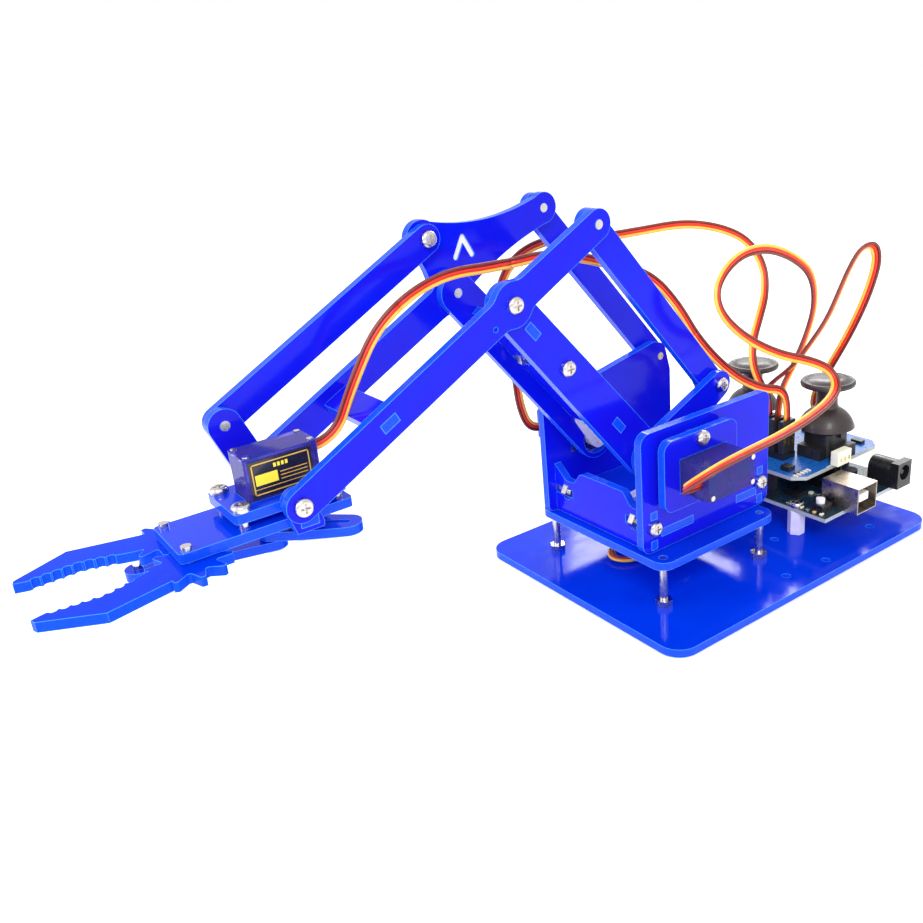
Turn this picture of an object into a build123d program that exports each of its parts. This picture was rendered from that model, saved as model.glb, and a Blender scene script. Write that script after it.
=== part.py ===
"""Desktop robot arm: a four-axis linkage arm cut from 3 mm acrylic sheet.

Frame: millimetres, +Z up, +X along the reach of the arm, +Y to its elbow-servo ("near") side.
The origin is on the turret's turning axis, at the underside of the base plate.
"""
import os
from math import cos, hypot, pi, radians, sin

from build123d import *

# ---------------------------------------------------------------- driving dimensions
SHEET = 3.0              # every blue plate is this thick
GAP = 0.4                # running gap between neighbouring link plates
HOLE = 1.6               # radius of a pivot hole
SHANK = 1.5              # radius of an M3 screw
TAPPED = 1.52            # radius of a hole that an M3 screw is threaded into

BASE_X = (-99.0, 45.0)
BASE_Y = (-52.0, 56.0)
BASE_CORNER = 8.0

DECK_Z = 19.0            # underside of the deck plate
DECK_HALF = (30.0, 34.5)
STANDOFF = (25.5, 30.0)  # half the spacing of the four standoff screws

SHOULDER = (12.0, 51.0)  # X and Z of the shoulder axis
LINK = 88.0              # lower arm, forearm and all three rods, pivot to pivot
LEVER = 40.0             # elbow lever, and the forearm behind the elbow
LOWER_ANGLE = 50.0       # lower arm above the horizontal, at rest
FORE_ANGLE = -28.0       # forearm below the horizontal, at rest
LEVEL_REAR = (48.0, 154.0)   # levelling crank behind the shoulder: length, angle
LEVEL_FRONT = (20.0, 68.0)   # levelling crank above the elbow and the wrist

# ---------------------------------------------------------------- layers across the arm
NEAR_1 = 9.0                         # outer face of the innermost near sheet
NEAR_2 = NEAR_1 + GAP + SHEET
NEAR_PANEL = 26.0                    # outer face of the turret's near panel
FAR_1 = -18.4                        # inner face of the innermost far sheet
FAR_2 = FAR_1 - SHEET - GAP
FAR_3 = FAR_2 - SHEET - 0.3          # the triangle's inner face
FAR_PANEL = -29.6                    # outer face of the turret's far panel
FAR_4 = FAR_PANEL - 0.3              # inner face of the lower levelling rod
MIDDLE = (NEAR_1 - SHEET + FAR_1) / 2


def polar(point, length, angle):
    return (point[0] + length * cos(radians(angle)), point[1] + length * sin(radians(angle)))


ELBOW = polar(SHOULDER, LINK, LOWER_ANGLE)
WRIST = polar(ELBOW, LINK, FORE_ANGLE)
FORE_TAIL = polar(ELBOW, -LEVER, FORE_ANGLE)
LEVER_END = polar(SHOULDER, -LEVER, FORE_ANGLE)
REAR_CRANK = polar(SHOULDER, *LEVEL_REAR)
TRIANGLE_REAR = polar(ELBOW, *LEVEL_REAR)
TRIANGLE_FRONT = polar(ELBOW, *LEVEL_FRONT)
HAND_CRANK = polar(WRIST, *LEVEL_FRONT)

# ---------------------------------------------------------------- the servo
SERVO_LENGTH = 22.8
SERVO_WIDTH = 12.2
SERVO_HEIGHT = 22.5
SHAFT_INSET = 5.9        # shaft axis from the end of the case
EAR_UNDER = 15.9         # bottom of the case to the ears
EAR_THICK = 2.5
EAR_SPAN = 32.2
BOSS_HEIGHT = 4.0
BOSS_RADIUS = 5.9
SPLINE_TOP = 3.3         # spline above the boss
CASE_WALL = 1.2
HORN_PLATE = 1.6
EAR_SCREW_SPAN = 27.8

# ---------------------------------------------------------------- turret
TURRET_BOTTOM = DECK_Z + SHEET + 0.6
FLOOR_Z = 27.5
PANEL_X = (-34.5, 31.0)
NEAR_PANEL_TOP = 68.0
FRONT_PANEL_X = 24.0     # rear face of the front panel
REAR_PANEL_X = -31.5     # rear face of the rear panel
PANEL_SCREW_Z = 32.0
TAB_Z = ((23.6, 27.0), (35.2, 38.2))

# ---------------------------------------------------------------- hand
FLOOR_TOP = WRIST[1] - 5.0
FLOOR_X = (WRIST[0] - 18.3, WRIST[0] + 34.2)
HAND_HALF = (NEAR_1 - SHEET - FAR_1) / 2 - 0.2
COLLAR_X = (WRIST[0] - 17.3, WRIST[0] + 17.2)
GRIP_SHAFT = (WRIST[0] - 6.5, MIDDLE)
JAW_X = WRIST[0] + 31.5
JAW_SPACING = 20.0
JAW_TOP = FLOOR_TOP - SHEET - GAP
CRANK = (8.6, -5.0)      # drive screw, from the far jaw's pivot
LEVER_TOP = JAW_TOP - SHEET - 2.2
LINK_TOP = LEVER_TOP - SHEET - GAP

# ---------------------------------------------------------------- electronics
BOARD_X = (-102.9, -49.5)
BOARD_Y = (-26.6, 42.0)
BOARD_Z = 13.0
BOARD_THICK = 1.6
SHIELD_Z = 26.0
SHIELD_Y = (-26.6, 29.6)
STICKS = {"near": (-80.0, 18.5), "far": (-80.0, -19.5)}
STICK_PIVOT_Z = 36.5
PLUG_X = -64.0
PLUG_Y = {"base": -2.0, "shoulder": 2.5, "elbow": 7.0, "gripper": 11.5}
PLUG_Z = 30.2
PLUG_TOP = PLUG_Z + 14.0


# ---------------------------------------------------------------- small helpers
def save(node, *solids):
    """Write one node's solids to its own file."""
    pieces = [s for item in solids for s in item.solids()]
    os.makedirs("parts", exist_ok=True)
    export_step(Compound(children=pieces), f"parts/{node}.step")


def block(x, y, z):
    """A box from three (low, high) pairs."""
    return Pos((x[0] + x[1]) / 2, (y[0] + y[1]) / 2, (z[0] + z[1]) / 2) * Box(
        x[1] - x[0], y[1] - y[0], z[1] - z[0]
    )


def upright(outline, outer, thickness=SHEET):
    """A sheet standing in the XZ plane, from a sketch of X and Z; outer is its high-Y face."""
    return Pos(0, outer, 0) * Rot(90, 0, 0) * extrude(outline, thickness)


def disc(point, radius):
    return Pos(*point) * Circle(radius)


def strap(start, end, radius_start, radius_end=None):
    """A plate outline with round ends about two pivots."""
    radius_end = radius_end or radius_start
    length = hypot(end[0] - start[0], end[1] - start[1])
    ux, uy = (end[0] - start[0]) / length, (end[1] - start[1]) / length
    lean = (radius_start - radius_end) / length
    side = (1 - lean * lean) ** 0.5
    corners = []
    for point, radius, hand in (
        (start, radius_start, 1), (end, radius_end, 1), (end, radius_end, -1), (start, radius_start, -1)
    ):
        nx, ny = lean * ux - hand * side * uy, lean * uy + hand * side * ux
        corners.append((point[0] + radius * nx, point[1] + radius * ny))
    return make_face(Polyline(*corners, close=True)) + disc(start, radius_start) + disc(end, radius_end)


def rounded(x, y, radius):
    """A rounded rectangle outline from two (low, high) pairs."""
    return Pos((x[0] + x[1]) / 2, (y[0] + y[1]) / 2) * RectangleRounded(x[1] - x[0], y[1] - y[0], radius)


def slot_outline(x, y):
    return Pos((x[0] + x[1]) / 2, (y[0] + y[1]) / 2) * Rectangle(x[1] - x[0], y[1] - y[0])


# ---------------------------------------------------------------- fasteners
HEAD_RADIUS = 2.8
HEAD_HEIGHT = 2.0
NUT_FLATS = 5.5
NUT_HEIGHT = 2.4
TO_NEAR = Rot(-90, 0, 0)     # turns +Z to +Y
TO_FAR = Rot(90, 0, 0)       # turns +Z to -Y
DOWN = Rot(180, 0, 0)


def screw(length):
    """M3 pan-head screw: head above Z = 0, shank below."""
    head = Pos(0, 0, HEAD_HEIGHT / 2) * Cylinder(HEAD_RADIUS, HEAD_HEIGHT)
    head = fillet(head.edges().sort_by(Axis.Z)[-1], 1.1)
    for turn in (0, 90):
        head -= Pos(0, 0, HEAD_HEIGHT) * Rot(0, 0, turn) * Box(3.0, 0.7, 1.6)
    return head + Pos(0, 0, -length / 2) * Cylinder(SHANK, length)


def flat_screw(length):
    """M3 countersunk screw: flat of the head at Z = 0, shank below."""
    head = Pos(0, 0, -0.8) * Cone(SHANK, 2.7, 1.6)
    return head + Pos(0, 0, -length / 2) * Cylinder(SHANK, length)


def nut(height=NUT_HEIGHT):
    """M3 nut standing on Z = 0."""
    body = extrude(RegularPolygon(NUT_FLATS / 2, 6, major_radius=False), height)
    return body - Pos(0, 0, height / 2) * Cylinder(TAPPED, height)


def at(x, y, z):
    return Pos(x, y, z)


# ---------------------------------------------------------------- servo
def servo_case():
    """Hollow case with ears. Z = 0 is the ears' outer side, +Z the shaft, +X runs from shaft to motor."""
    middle = SERVO_LENGTH / 2 - SHAFT_INSET
    top = SERVO_HEIGHT - EAR_UNDER
    body = block(
        (-SHAFT_INSET, SERVO_LENGTH - SHAFT_INSET), (-SERVO_WIDTH / 2, SERVO_WIDTH / 2), (-EAR_UNDER, top)
    )
    body = fillet(body.edges().filter_by(Axis.Z), 0.8)
    ears = Pos(middle, 0, EAR_THICK / 2) * Box(EAR_SPAN, SERVO_WIDTH, EAR_THICK)
    ears = fillet(ears.edges().filter_by(Axis.Z), 1.0)
    boss = Pos(0, 0, top + BOSS_HEIGHT / 2) * Cylinder(BOSS_RADIUS, BOSS_HEIGHT)
    small = Pos(6.4, 0, top + BOSS_HEIGHT / 2) * Cylinder(2.6, BOSS_HEIGHT)
    case = body + ears + boss + small
    for side in (-1, 1):
        case -= Pos(middle + side * EAR_SCREW_SPAN / 2, 0, EAR_THICK / 2) * Cylinder(1.0, EAR_THICK)
    inner = block(
        (-SHAFT_INSET + CASE_WALL, SERVO_LENGTH - SHAFT_INSET - CASE_WALL),
        (-SERVO_WIDTH / 2 + CASE_WALL, SERVO_WIDTH / 2 - CASE_WALL),
        (-EAR_UNDER + CASE_WALL, top - CASE_WALL),
    )
    bore = Pos(0, 0, top + BOSS_HEIGHT / 2) * Cylinder(2.8, BOSS_HEIGHT + 2 * CASE_WALL)
    return case - inner - bore


def servo_works():
    """Motor, circuit board, potentiometer and gear train inside the case."""
    motor_x = SERVO_LENGTH - SHAFT_INSET - CASE_WALL - 5.0
    motor = Pos(motor_x, 0, -EAR_UNDER + CASE_WALL + 0.1 + 6.5) * Cylinder(4.8, 13.0)
    motor += Pos(motor_x, 0, 0.4) * Cylinder(0.5, 2.6)
    board = block((-4.6, 4.6), (-4.7, 4.7), (-EAR_UNDER + 1.4, -EAR_UNDER + 2.4))
    pot = Pos(0, 0, -5.0) * Cylinder(3.8, 6.0)
    pinion = Pos(motor_x, 0, 2.5) * Cylinder(1.4, 1.5)
    idler = Pos(6.4, 0, 2.1) * Cylinder(3.4, 1.0) + Pos(6.4, 0, 3.7) * Cylinder(1.6, 2.2)
    output = Pos(0, 0, 3.9) * Cylinder(4.3, 1.4) - Pos(0, 0, 3.9) * Cylinder(2.5, 1.4)
    return [motor, board, pot, pinion, idler, output]


def horn(hub, angle=0.0, reach=13.0):
    """Horn and spline shaft: Z = 0 is the arm's shaft-side face, the hub and shaft go down."""
    arm = extrude(strap((0, 0), (reach, 0), 3.6, 2.0), HORN_PLATE)
    for distance in (7.0, 10.5):
        arm -= Pos(distance, 0, HORN_PLATE / 2) * Cylinder(0.5, HORN_PLATE)
    shape = arm + Pos(0, 0, -hub / 2) * Cylinder(3.5, hub)
    shape += Pos(0, 0, -hub - 3.0) * Cylinder(2.4, 6.0)
    shape -= Pos(0, 0, HORN_PLATE / 2) * Cylinder(1.9, HORN_PLATE)
    shape += Pos(0, 0, HORN_PLATE / 2 - 0.3) * Cylinder(1.7, HORN_PLATE - 0.6)
    return Rot(0, 0, angle) * shape


def body_window(clear=0.2):
    """Opening for the case, about the shaft axis, as a sketch of X and Y."""
    middle = SERVO_LENGTH / 2 - SHAFT_INSET
    return Pos(middle, 0) * Rectangle(SERVO_LENGTH + 2 * clear, SERVO_WIDTH + 2 * clear)


EAR_TO_BOSS = SERVO_HEIGHT - EAR_UNDER + BOSS_HEIGHT - EAR_THICK   # seated ear face to boss end

# Placements: shaft toward -Y, +Y, +Z and -Z; the case runs toward -X from the shaft, or +X in the hand.
ELBOW_SERVO = Pos(SHOULDER[0], NEAR_PANEL + EAR_THICK, SHOULDER[1]) * Rot(90, 0, 0) * Rot(0, 0, 180)
SHOULDER_SERVO = Pos(SHOULDER[0], FAR_PANEL - EAR_THICK, SHOULDER[1]) * Rot(-90, 0, 0) * Rot(0, 0, 180)
BASE_SERVO = Pos(0, 0, DECK_Z - EAR_THICK) * Rot(0, 0, 180)
GRIP_SERVO = Pos(GRIP_SHAFT[0], GRIP_SHAFT[1], FLOOR_TOP + EAR_THICK) * Rot(180, 0, 0)


# ---------------------------------------------------------------- base
def standoff_places():
    return [(sx * STANDOFF[0], sy * STANDOFF[1]) for sx in (-1, 1) for sy in (-1, 1)]


def board_holes():
    """The controller board's four holes: the last one hangs past the end of the base plate."""
    return [
        (BOARD_X[0] + across, BOARD_Y[1] - along)
        for along, across in ((15.3, 50.8), (66.1, 7.6), (66.1, 35.6), (14.0, 2.5))
    ]


def spacer_places():
    return board_holes()[:3]


SPARE_HOLES = ((-76.0, 44.0), (-41.0, 25.0), (-41.0, 49.0), (-21.0, 46.5))
COLLAR_HALF = 17.5
BASE_COLLAR_SCREWS = ((-COLLAR_HALF + 12.0, 9.2), (-COLLAR_HALF + 12.0, -9.2))


def base_plate():
    outline = rounded(BASE_X, BASE_Y, BASE_CORNER)
    outline -= Rot(0, 0, 180) * body_window(0.6)
    for place in [*standoff_places(), *spacer_places(), *SPARE_HOLES]:
        outline -= disc(place, HOLE)
    plate = extrude(outline, SHEET)
    for place in standoff_places():
        plate -= Pos(place[0], place[1], 0.85) * Cone(2.85, SHANK, 1.7)
    return plate


def deck_plate():
    outline = rounded((-DECK_HALF[0], DECK_HALF[0]), (-DECK_HALF[1], DECK_HALF[1]), 5.0)
    outline -= Rot(0, 0, 180) * body_window()
    for place in standoff_places():
        outline -= disc(place, TAPPED)
    for place in BASE_COLLAR_SCREWS:
        outline -= disc(place, TAPPED)
    return at(0, 0, DECK_Z) * extrude(outline, SHEET)


def base_collar():
    outline = rounded((-COLLAR_HALF - 5.5, COLLAR_HALF - 5.5), (-12.5, 12.5), 3.0)
    outline -= Rot(0, 0, 180) * body_window()
    for place in BASE_COLLAR_SCREWS:
        outline -= disc(place, HOLE)
    return at(0, 0, DECK_Z - EAR_THICK - SHEET) * extrude(outline, SHEET)


def base_fasteners():
    pieces = []
    for x, y in standoff_places():
        pieces.append(at(x, y, 0) * DOWN * flat_screw(DECK_Z + SHEET - 0.1))
        pieces.append(at(x, y, SHEET) * nut())
    for x, y in BASE_COLLAR_SCREWS:
        pieces.append(at(x, y, DECK_Z - EAR_THICK - SHEET) * DOWN * screw(8.3))
    for x, y in spacer_places():
        pieces.append(at(x, y, BOARD_Z + BOARD_THICK) * screw(6.0))
    return pieces


def board_spacers():
    pieces = []
    for x, y in spacer_places():
        body = extrude(RegularPolygon(2.9, 6, major_radius=False), BOARD_Z - SHEET)
        body -= Pos(0, 0, BOARD_Z - SHEET - 3.0) * Cylinder(TAPPED, 6.0)
        pieces.append(at(x, y, SHEET) * body)
    return pieces


# ---------------------------------------------------------------- electronics
HEADER_HEIGHT = 8.5
HEADER_X = (BOARD_X[0] + 2.5, BOARD_X[0] + 50.8)
HEADER_Y = (BOARD_Y[0] + 3.4, BOARD_Y[0] + 42.4)
USB_X = BOARD_X[0] + 36.5
JACK_X = BOARD_X[0] + 7.6
BUTTON = (BOARD_X[1] - 5.5, BOARD_Y[1] - 6.5)


def controller_board():
    outline = slot_outline(BOARD_X, BOARD_Y)
    outline -= Pos(BOARD_X[0], BOARD_Y[0]) * Rot(0, 0, 45) * Rectangle(3.6, 3.6)
    for place in board_holes():
        outline -= disc(place, HOLE)
    return at(0, 0, BOARD_Z) * extrude(outline, BOARD_THICK)


def controller_parts():
    """Header strips, processor, regulator, capacitors, crystal and pins."""
    top = BOARD_Z + BOARD_THICK
    pieces = []
    for x in HEADER_X:
        strip = block((x - 1.25, x + 1.25), HEADER_Y, (top, top + HEADER_HEIGHT))
        pins = int((HEADER_Y[1] - HEADER_Y[0]) / 2.54)
        for index in range(pins):
            y = HEADER_Y[0] + 1.6 + 2.54 * index
            strip -= block((x - 0.5, x + 0.5), (y - 0.5, y + 0.5), (top + 3.0, top + HEADER_HEIGHT))
        pieces.append(strip)
    x0, y0 = BOARD_X[0], BOARD_Y[0]
    pieces.append(block((x0 + 18.5, x0 + 25.5), (y0 + 5.4, y0 + 40.9), (top + 0.6, top + 4.0)))
    for index in range(14):
        y = y0 + 6.7 + 2.54 * index
        for x in (x0 + 18.1, x0 + 25.5):
            pieces.append(block((x, x + 0.4), (y - 0.3, y + 0.3), (top, top + 2.2)))
    pieces.append(block((x0 + 38.0, x0 + 45.0), (y0 + 42.0, y0 + 49.0), (top, top + 1.4)))
    for y in (47.4, 54.9):
        pieces.append(at(x0 + 17.0, y0 + y - 1.5, top + 2.7) * Cylinder(3.1, 5.4))
    pieces.append(block((x0 + 26.0, x0 + 30.3), (y0 + 41.5, y0 + 52.0), (top, top + 3.4)))
    pieces.append(block((x0 + 7.0, x0 + 10.5), (y0 + 38.0, y0 + 46.5), (top, top + 1.2)))
    x, y = BUTTON
    button_case = block((x - 3.0, x + 3.0), (y - 3.0, y + 3.0), (top, top + 3.4))
    pieces.append(button_case - at(x, y, top + 2.9) * Cylinder(2.0, 1.4))
    for index in range(3):
        for row in (0, 1):
            x, y = x0 + 10.0 + 2.54 * row, y0 + 8.0 + 2.54 * index
            pieces.append(block((x - 0.32, x + 0.32), (y - 0.32, y + 0.32), (top, top + 7.0)))
    for index in range(4):
        y = y0 + 64.0 - 2.2 * index
        pieces.append(block((x0 + 27.0, x0 + 28.6), (y - 0.5, y + 0.5), (top, top + 0.6)))
    return pieces


def reset_button():
    low = BOARD_Z + BOARD_THICK + 2.7
    return at(BUTTON[0], BUTTON[1], low + 1.2) * Cylinder(1.7, 2.4)


def board_sockets():
    """Square data socket in a folded steel shell, and the round power jack."""
    top = BOARD_Z + BOARD_THICK
    front = BOARD_Y[1] + 6.2
    shell = block((USB_X - 6.0, USB_X + 6.0), (front - 16.2, front), (top, top + 10.9))
    shell -= block((USB_X - 5.6, USB_X + 5.6), (front - 15.8, front), (top + 0.4, top + 10.5))
    tongue = block((USB_X - 2.8, USB_X + 2.8), (front - 15.8, front - 1.5), (top + 4.0, top + 7.2))
    seat = block((USB_X - 5.6, USB_X + 5.6), (front - 15.8, front - 12.5), (top + 0.4, top + 10.5)) - tongue
    jack_front = BOARD_Y[1] + 3.5
    frame = block((JACK_X - 4.5, JACK_X + 4.5), (jack_front - 3.4, jack_front), (top, top + 10.9))
    barrel = at(JACK_X, jack_front - 8.6, top + 6.4) * TO_NEAR * Cylinder(4.4, 10.4)
    foot = block((JACK_X - 4.4, JACK_X + 4.4), (jack_front - 13.8, jack_front - 3.4), (top, top + 6.4))
    jack = frame + barrel + foot
    jack -= at(JACK_X, jack_front - 5.0, top + 6.4) * TO_NEAR * Cylinder(3.2, 10.0)
    pin = at(JACK_X, jack_front - 5.6, top + 6.4) * TO_NEAR * Cylinder(1.0, 9.0)
    return [shell, tongue, seat, jack, pin]


def shield_board():
    outline = slot_outline(BOARD_X, SHIELD_Y)
    for x, y in ((BOARD_X[1], SHIELD_Y[1]), (BOARD_X[0], SHIELD_Y[1])):
        outline -= at(x, y, 0) * Rot(0, 0, 45) * Rectangle(6.0, 6.0)
    return at(0, 0, SHIELD_Z) * extrude(outline, BOARD_THICK)


def shield_parts():
    """Strips that plug into the controller, the servo pin block and small parts."""
    top = SHIELD_Z + BOARD_THICK
    low = BOARD_Z + BOARD_THICK + HEADER_HEIGHT
    pieces = [block((x - 1.25, x + 1.25), HEADER_Y, (low, SHIELD_Z)) for x in HEADER_X]
    y_low, y_high = PLUG_Y["base"] - 1.6, PLUG_Y["gripper"] + 1.6
    pieces.append(block((PLUG_X - 3.8, PLUG_X + 3.8), (y_low, y_high), (top, PLUG_Z)))
    pieces.append(block((-56.4, -52.4), (18.0, 22.0), (top, top + 2.0)))
    pieces.append(block((-55.0, -52.6), (24.0, 25.6), (top, top + 0.8)))
    pieces.append(block((-98.0, -95.5), (20.0, 25.0), (top, top + 1.4)))
    pieces.append(block((-98.0, -93.0), (-3.0, 8.0), (top, top + 1.6)))
    return pieces


def servo_plugs():
    """Three-way housings on the ends of the servo leads."""
    pieces = []
    for y in PLUG_Y.values():
        body = block((PLUG_X - 3.8, PLUG_X + 3.8), (y - 1.25, y + 1.25), (PLUG_Z, PLUG_TOP))
        pieces.append(fillet(body.edges().filter_by(Axis.Z), 0.3))
    return pieces


STICK_FRAME = 6.8
STICK_CORNER = 3.0
TRUNNION = 1.2           # radius of the yoke's bearing pins
POT_TOP = 32.6


def joystick_frames():
    """Square two-axis frame with a sensor block on two sides, for both sticks."""
    top = SHIELD_Z + BOARD_THICK
    pieces = []
    for x, y in STICKS.values():
        body = block((x - STICK_FRAME, x + STICK_FRAME), (y - STICK_FRAME, y + STICK_FRAME), (top, 37.5))
        body = fillet(body.edges().filter_by(Axis.Z), STICK_CORNER)
        well = block((x - 5.2, x + 5.2), (y - 5.2, y + 5.2), (33.0, 37.5))
        groove = at(x, y, STICK_PIVOT_Z) * TO_NEAR * Cylinder(TRUNNION + 0.15, 20.0)
        groove += block((x - TRUNNION - 0.15, x + TRUNNION + 0.15), (y - 10, y + 10), (STICK_PIVOT_Z, 38.0))
        pieces.append(body - well - groove)
        front = block((x + STICK_FRAME, x + 10.8), (y - 5.5, y + 5.5), (top, POT_TOP))
        front += at(x + 10.9, y, 30.2) * Rot(0, 90, 0) * Cylinder(2.0, 0.6)
        pieces.append(front)
        pieces.append(block((x - 5.5, x + 5.5), (y + STICK_FRAME, y + 10.6), (top, POT_TOP)))
        pieces.append(block((x - 10.4, x - STICK_FRAME), (y - 3.0, y + 3.0), (top, POT_TOP - 1.5)))
    return pieces


def stick_yoke(x, y):
    """Slotted arch that turns about Y."""
    ring = Cylinder(8.5, 6.0) - Cylinder(7.0, 6.0)
    ring = Rot(0, 90, 0) * ring
    ring &= Pos(0, 0, 6.3) * Box(20, 20, 7.4)
    ring -= Pos(0, 0, 7.2) * Box(3.6, 10.8, 7.0)
    for side in (-1, 1):
        foot = block((-1.2, 1.2), (side * 7.55 - 0.6, side * 7.55 + 0.6), (0.0, 4.0))
        ring += foot + Pos(0, side * 6.9, 0) * TO_NEAR * Cylinder(TRUNNION, 2.5)
    return at(x, y, STICK_PIVOT_Z) * ring


def stick_shaft(x, y):
    """Stem that turns about X inside the yoke."""
    stem = Pos(0, 0, 7.4) * Cylinder(1.5, 11.6) + Pos(0, 0, 2.6) * Cylinder(2.6, 2.0)
    return at(x, y, STICK_PIVOT_Z) * stem


def stick_cap(x, y):
    """Thumb cap: a hollow dome about the pivot, a neck and a mushroom top."""
    dome = Sphere(11.5) - Sphere(10.2)
    dome &= Pos(0, 0, 2.6 + 6.0) * Box(30, 30, 12.0)
    neck = Pos(0, 0, 15.4) * Cylinder(4.2, 10.4)
    brim = Pos(0, 0, 21.0) * Cylinder(10.7, 2.2)
    brim = fillet(brim.edges(), 0.9)
    crown = Pos(0, 0, 22.1) * Cone(10.0, 5.0, 1.4, align=(Align.CENTER, Align.CENTER, Align.MIN))
    cap = dome + neck + brim + crown
    cap -= Pos(0, 0, 11.95) * Cylinder(1.65, 4.3)
    return at(x, y, STICK_PIVOT_Z) * cap


# ---------------------------------------------------------------- turret
FLOOR_TABS = ((-28.0, -17.0), (6.0, 22.0))
SIDE_SCREWS_X = (REAR_PANEL_X + SHEET / 2, FRONT_PANEL_X + SHEET / 2)
INNER_Y = (FAR_PANEL + SHEET, NEAR_PANEL - SHEET)
NUT_INSET = 6.2        # nut centre inside a side panel's inner face


def turret_floor():
    outline = slot_outline((REAR_PANEL_X + SHEET, FRONT_PANEL_X), INNER_Y)
    for low, high in FLOOR_TABS:
        outline += slot_outline((low, high), (FAR_PANEL, NEAR_PANEL))
    for low, high in ((REAR_PANEL_X, REAR_PANEL_X + SHEET + 1.6), (FRONT_PANEL_X - 1.6, FRONT_PANEL_X)):
        for y in (INNER_Y[0] + NUT_INSET, INNER_Y[1] - NUT_INSET):
            outline -= slot_outline((low, high), (y - 1.6, y + 1.6))
    outline -= disc((0, 0), 3.7)
    return at(0, 0, FLOOR_Z) * extrude(outline, SHEET)


def side_panel_cuts(outline):
    """Servo window, tab slots and screw holes that both side panels have."""
    outline -= Pos(*SHOULDER) * Rot(0, 0, 180) * body_window()
    for low, high in FLOOR_TABS:
        outline -= slot_outline((low, high), (FLOOR_Z, FLOOR_Z + SHEET))
    for x in SIDE_SCREWS_X:
        outline -= disc((x, PANEL_SCREW_Z), HOLE)
        for low, high in TAB_Z:
            outline -= slot_outline((x - SHEET / 2, x + SHEET / 2), (low, high))
    for z in COLLAR_SCREWS_Z:
        outline -= disc((COLLAR_CENTRE, z), TAPPED)
    return outline


COLLAR_CENTRE = 7.5
COLLAR_SCREWS_Z = (SHOULDER[1] - 9.4, SHOULDER[1] + 11.4)


def near_panel():
    outline = rounded(PANEL_X, (TURRET_BOTTOM, NEAR_PANEL_TOP), 4.0)
    return upright(side_panel_cuts(outline), NEAR_PANEL)


def far_panel():
    corners = [
        (PANEL_X[1], TURRET_BOTTOM), (PANEL_X[1], 67.0), (-28.0, 78.8), (-33.5, 77.0), (-36.5, 65.5),
        (-36.5, TURRET_BOTTOM),
    ]
    outline = make_face(Polyline(*corners, close=True))
    outline = fillet(outline.vertices(), 2.5)
    outline = side_panel_cuts(outline) - disc(REAR_CRANK, HOLE)
    return upright(outline, FAR_PANEL + SHEET)


def cross_panel(top_far, top_middle, top_near):
    """A panel across the turret, as a sketch of Y and Z, with side tabs and captive-nut slots."""
    low, high = INNER_Y
    corners = [
        (low, TURRET_BOTTOM), (high, TURRET_BOTTOM), (high, top_near), (15.5, top_near), (12.0, top_middle),
        (-11.5, top_middle), (-15.5, top_far), (-20.5, top_far), (low, top_middle),
    ]
    outline = make_face(Polyline(*corners, close=True))
    inner = [v for v in outline.vertices() if low + 1 < v.X < high - 1 and v.Y > TURRET_BOTTOM + 1]
    outline = fillet(inner, 3.0)
    for bottom, top in TAB_Z:
        outline += slot_outline((FAR_PANEL, low + 0.5), (bottom, top))
        outline += slot_outline((high - 0.5, NEAR_PANEL), (bottom, top))
    nut_slot = Rectangle(NUT_HEIGHT + 0.3, NUT_FLATS + 0.3)
    for edge, inward in ((low, 1), (high, -1)):
        outline -= Pos(edge + inward * 5.0, PANEL_SCREW_Z) * Rectangle(10.0, 2 * HOLE)
        outline -= Pos(edge + inward * NUT_INSET, PANEL_SCREW_Z) * nut_slot
    return outline


def cross_panels():
    stand = Rot(0, 0, 90) * Rot(90, 0, 0)
    front = Pos(FRONT_PANEL_X, 0, 0) * stand * extrude(cross_panel(37.0, 42.2, 37.4), SHEET)
    rear = Pos(REAR_PANEL_X, 0, 0) * stand * extrude(cross_panel(38.4, 38.4, 38.4), SHEET)
    return front, rear


def servo_collars():
    """Plates that clamp the ears of the elbow and shoulder servos to the side panels."""
    outline = rounded(
        (COLLAR_CENTRE - 18.0, COLLAR_CENTRE + 18.0), (SHOULDER[1] - 12.2, SHOULDER[1] + 14.2), 4.0
    )
    outline -= Pos(*SHOULDER) * Rot(0, 0, 180) * body_window()
    for z in COLLAR_SCREWS_Z:
        outline -= disc((COLLAR_CENTRE, z), HOLE)
    near = upright(outline, NEAR_PANEL + EAR_THICK + SHEET)
    far = upright(outline, FAR_PANEL - EAR_THICK)
    return near, far


def turret_fasteners():
    pieces = []
    for x in SIDE_SCREWS_X:
        pieces.append(at(x, NEAR_PANEL, PANEL_SCREW_Z) * TO_NEAR * screw(11.5))
        pieces.append(at(x, NEAR_PANEL - SHEET - 7.4, PANEL_SCREW_Z) * TO_NEAR * nut())
        pieces.append(at(x, FAR_PANEL, PANEL_SCREW_Z) * TO_FAR * screw(11.5))
        pieces.append(at(x, FAR_PANEL + SHEET + 7.4, PANEL_SCREW_Z) * TO_FAR * nut())
    for z in COLLAR_SCREWS_Z:
        pieces.append(at(COLLAR_CENTRE, NEAR_PANEL + EAR_THICK + SHEET, z) * TO_NEAR * screw(8.3))
        pieces.append(at(COLLAR_CENTRE, FAR_PANEL - EAR_THICK - SHEET, z) * TO_FAR * screw(8.3))
    base_hub = FLOOR_Z + SHEET - (DECK_Z + EAR_TO_BOSS) - 0.3
    pieces.append(at(0, 0, FLOOR_Z + SHEET) * horn(base_hub))
    return pieces


# ---------------------------------------------------------------- lower arm and elbow drive
WEB_SCREW = 54.0
WEB = (16.0, 79.0)
WEB_TABS = ((17.0, 23.0), (71.0, 77.0))


def along(start, angle, distance, offset=0.0):
    """A point at a distance along a link and an offset to its left."""
    point = polar(start, distance, angle)
    return polar(point, offset, angle + 90)


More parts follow.
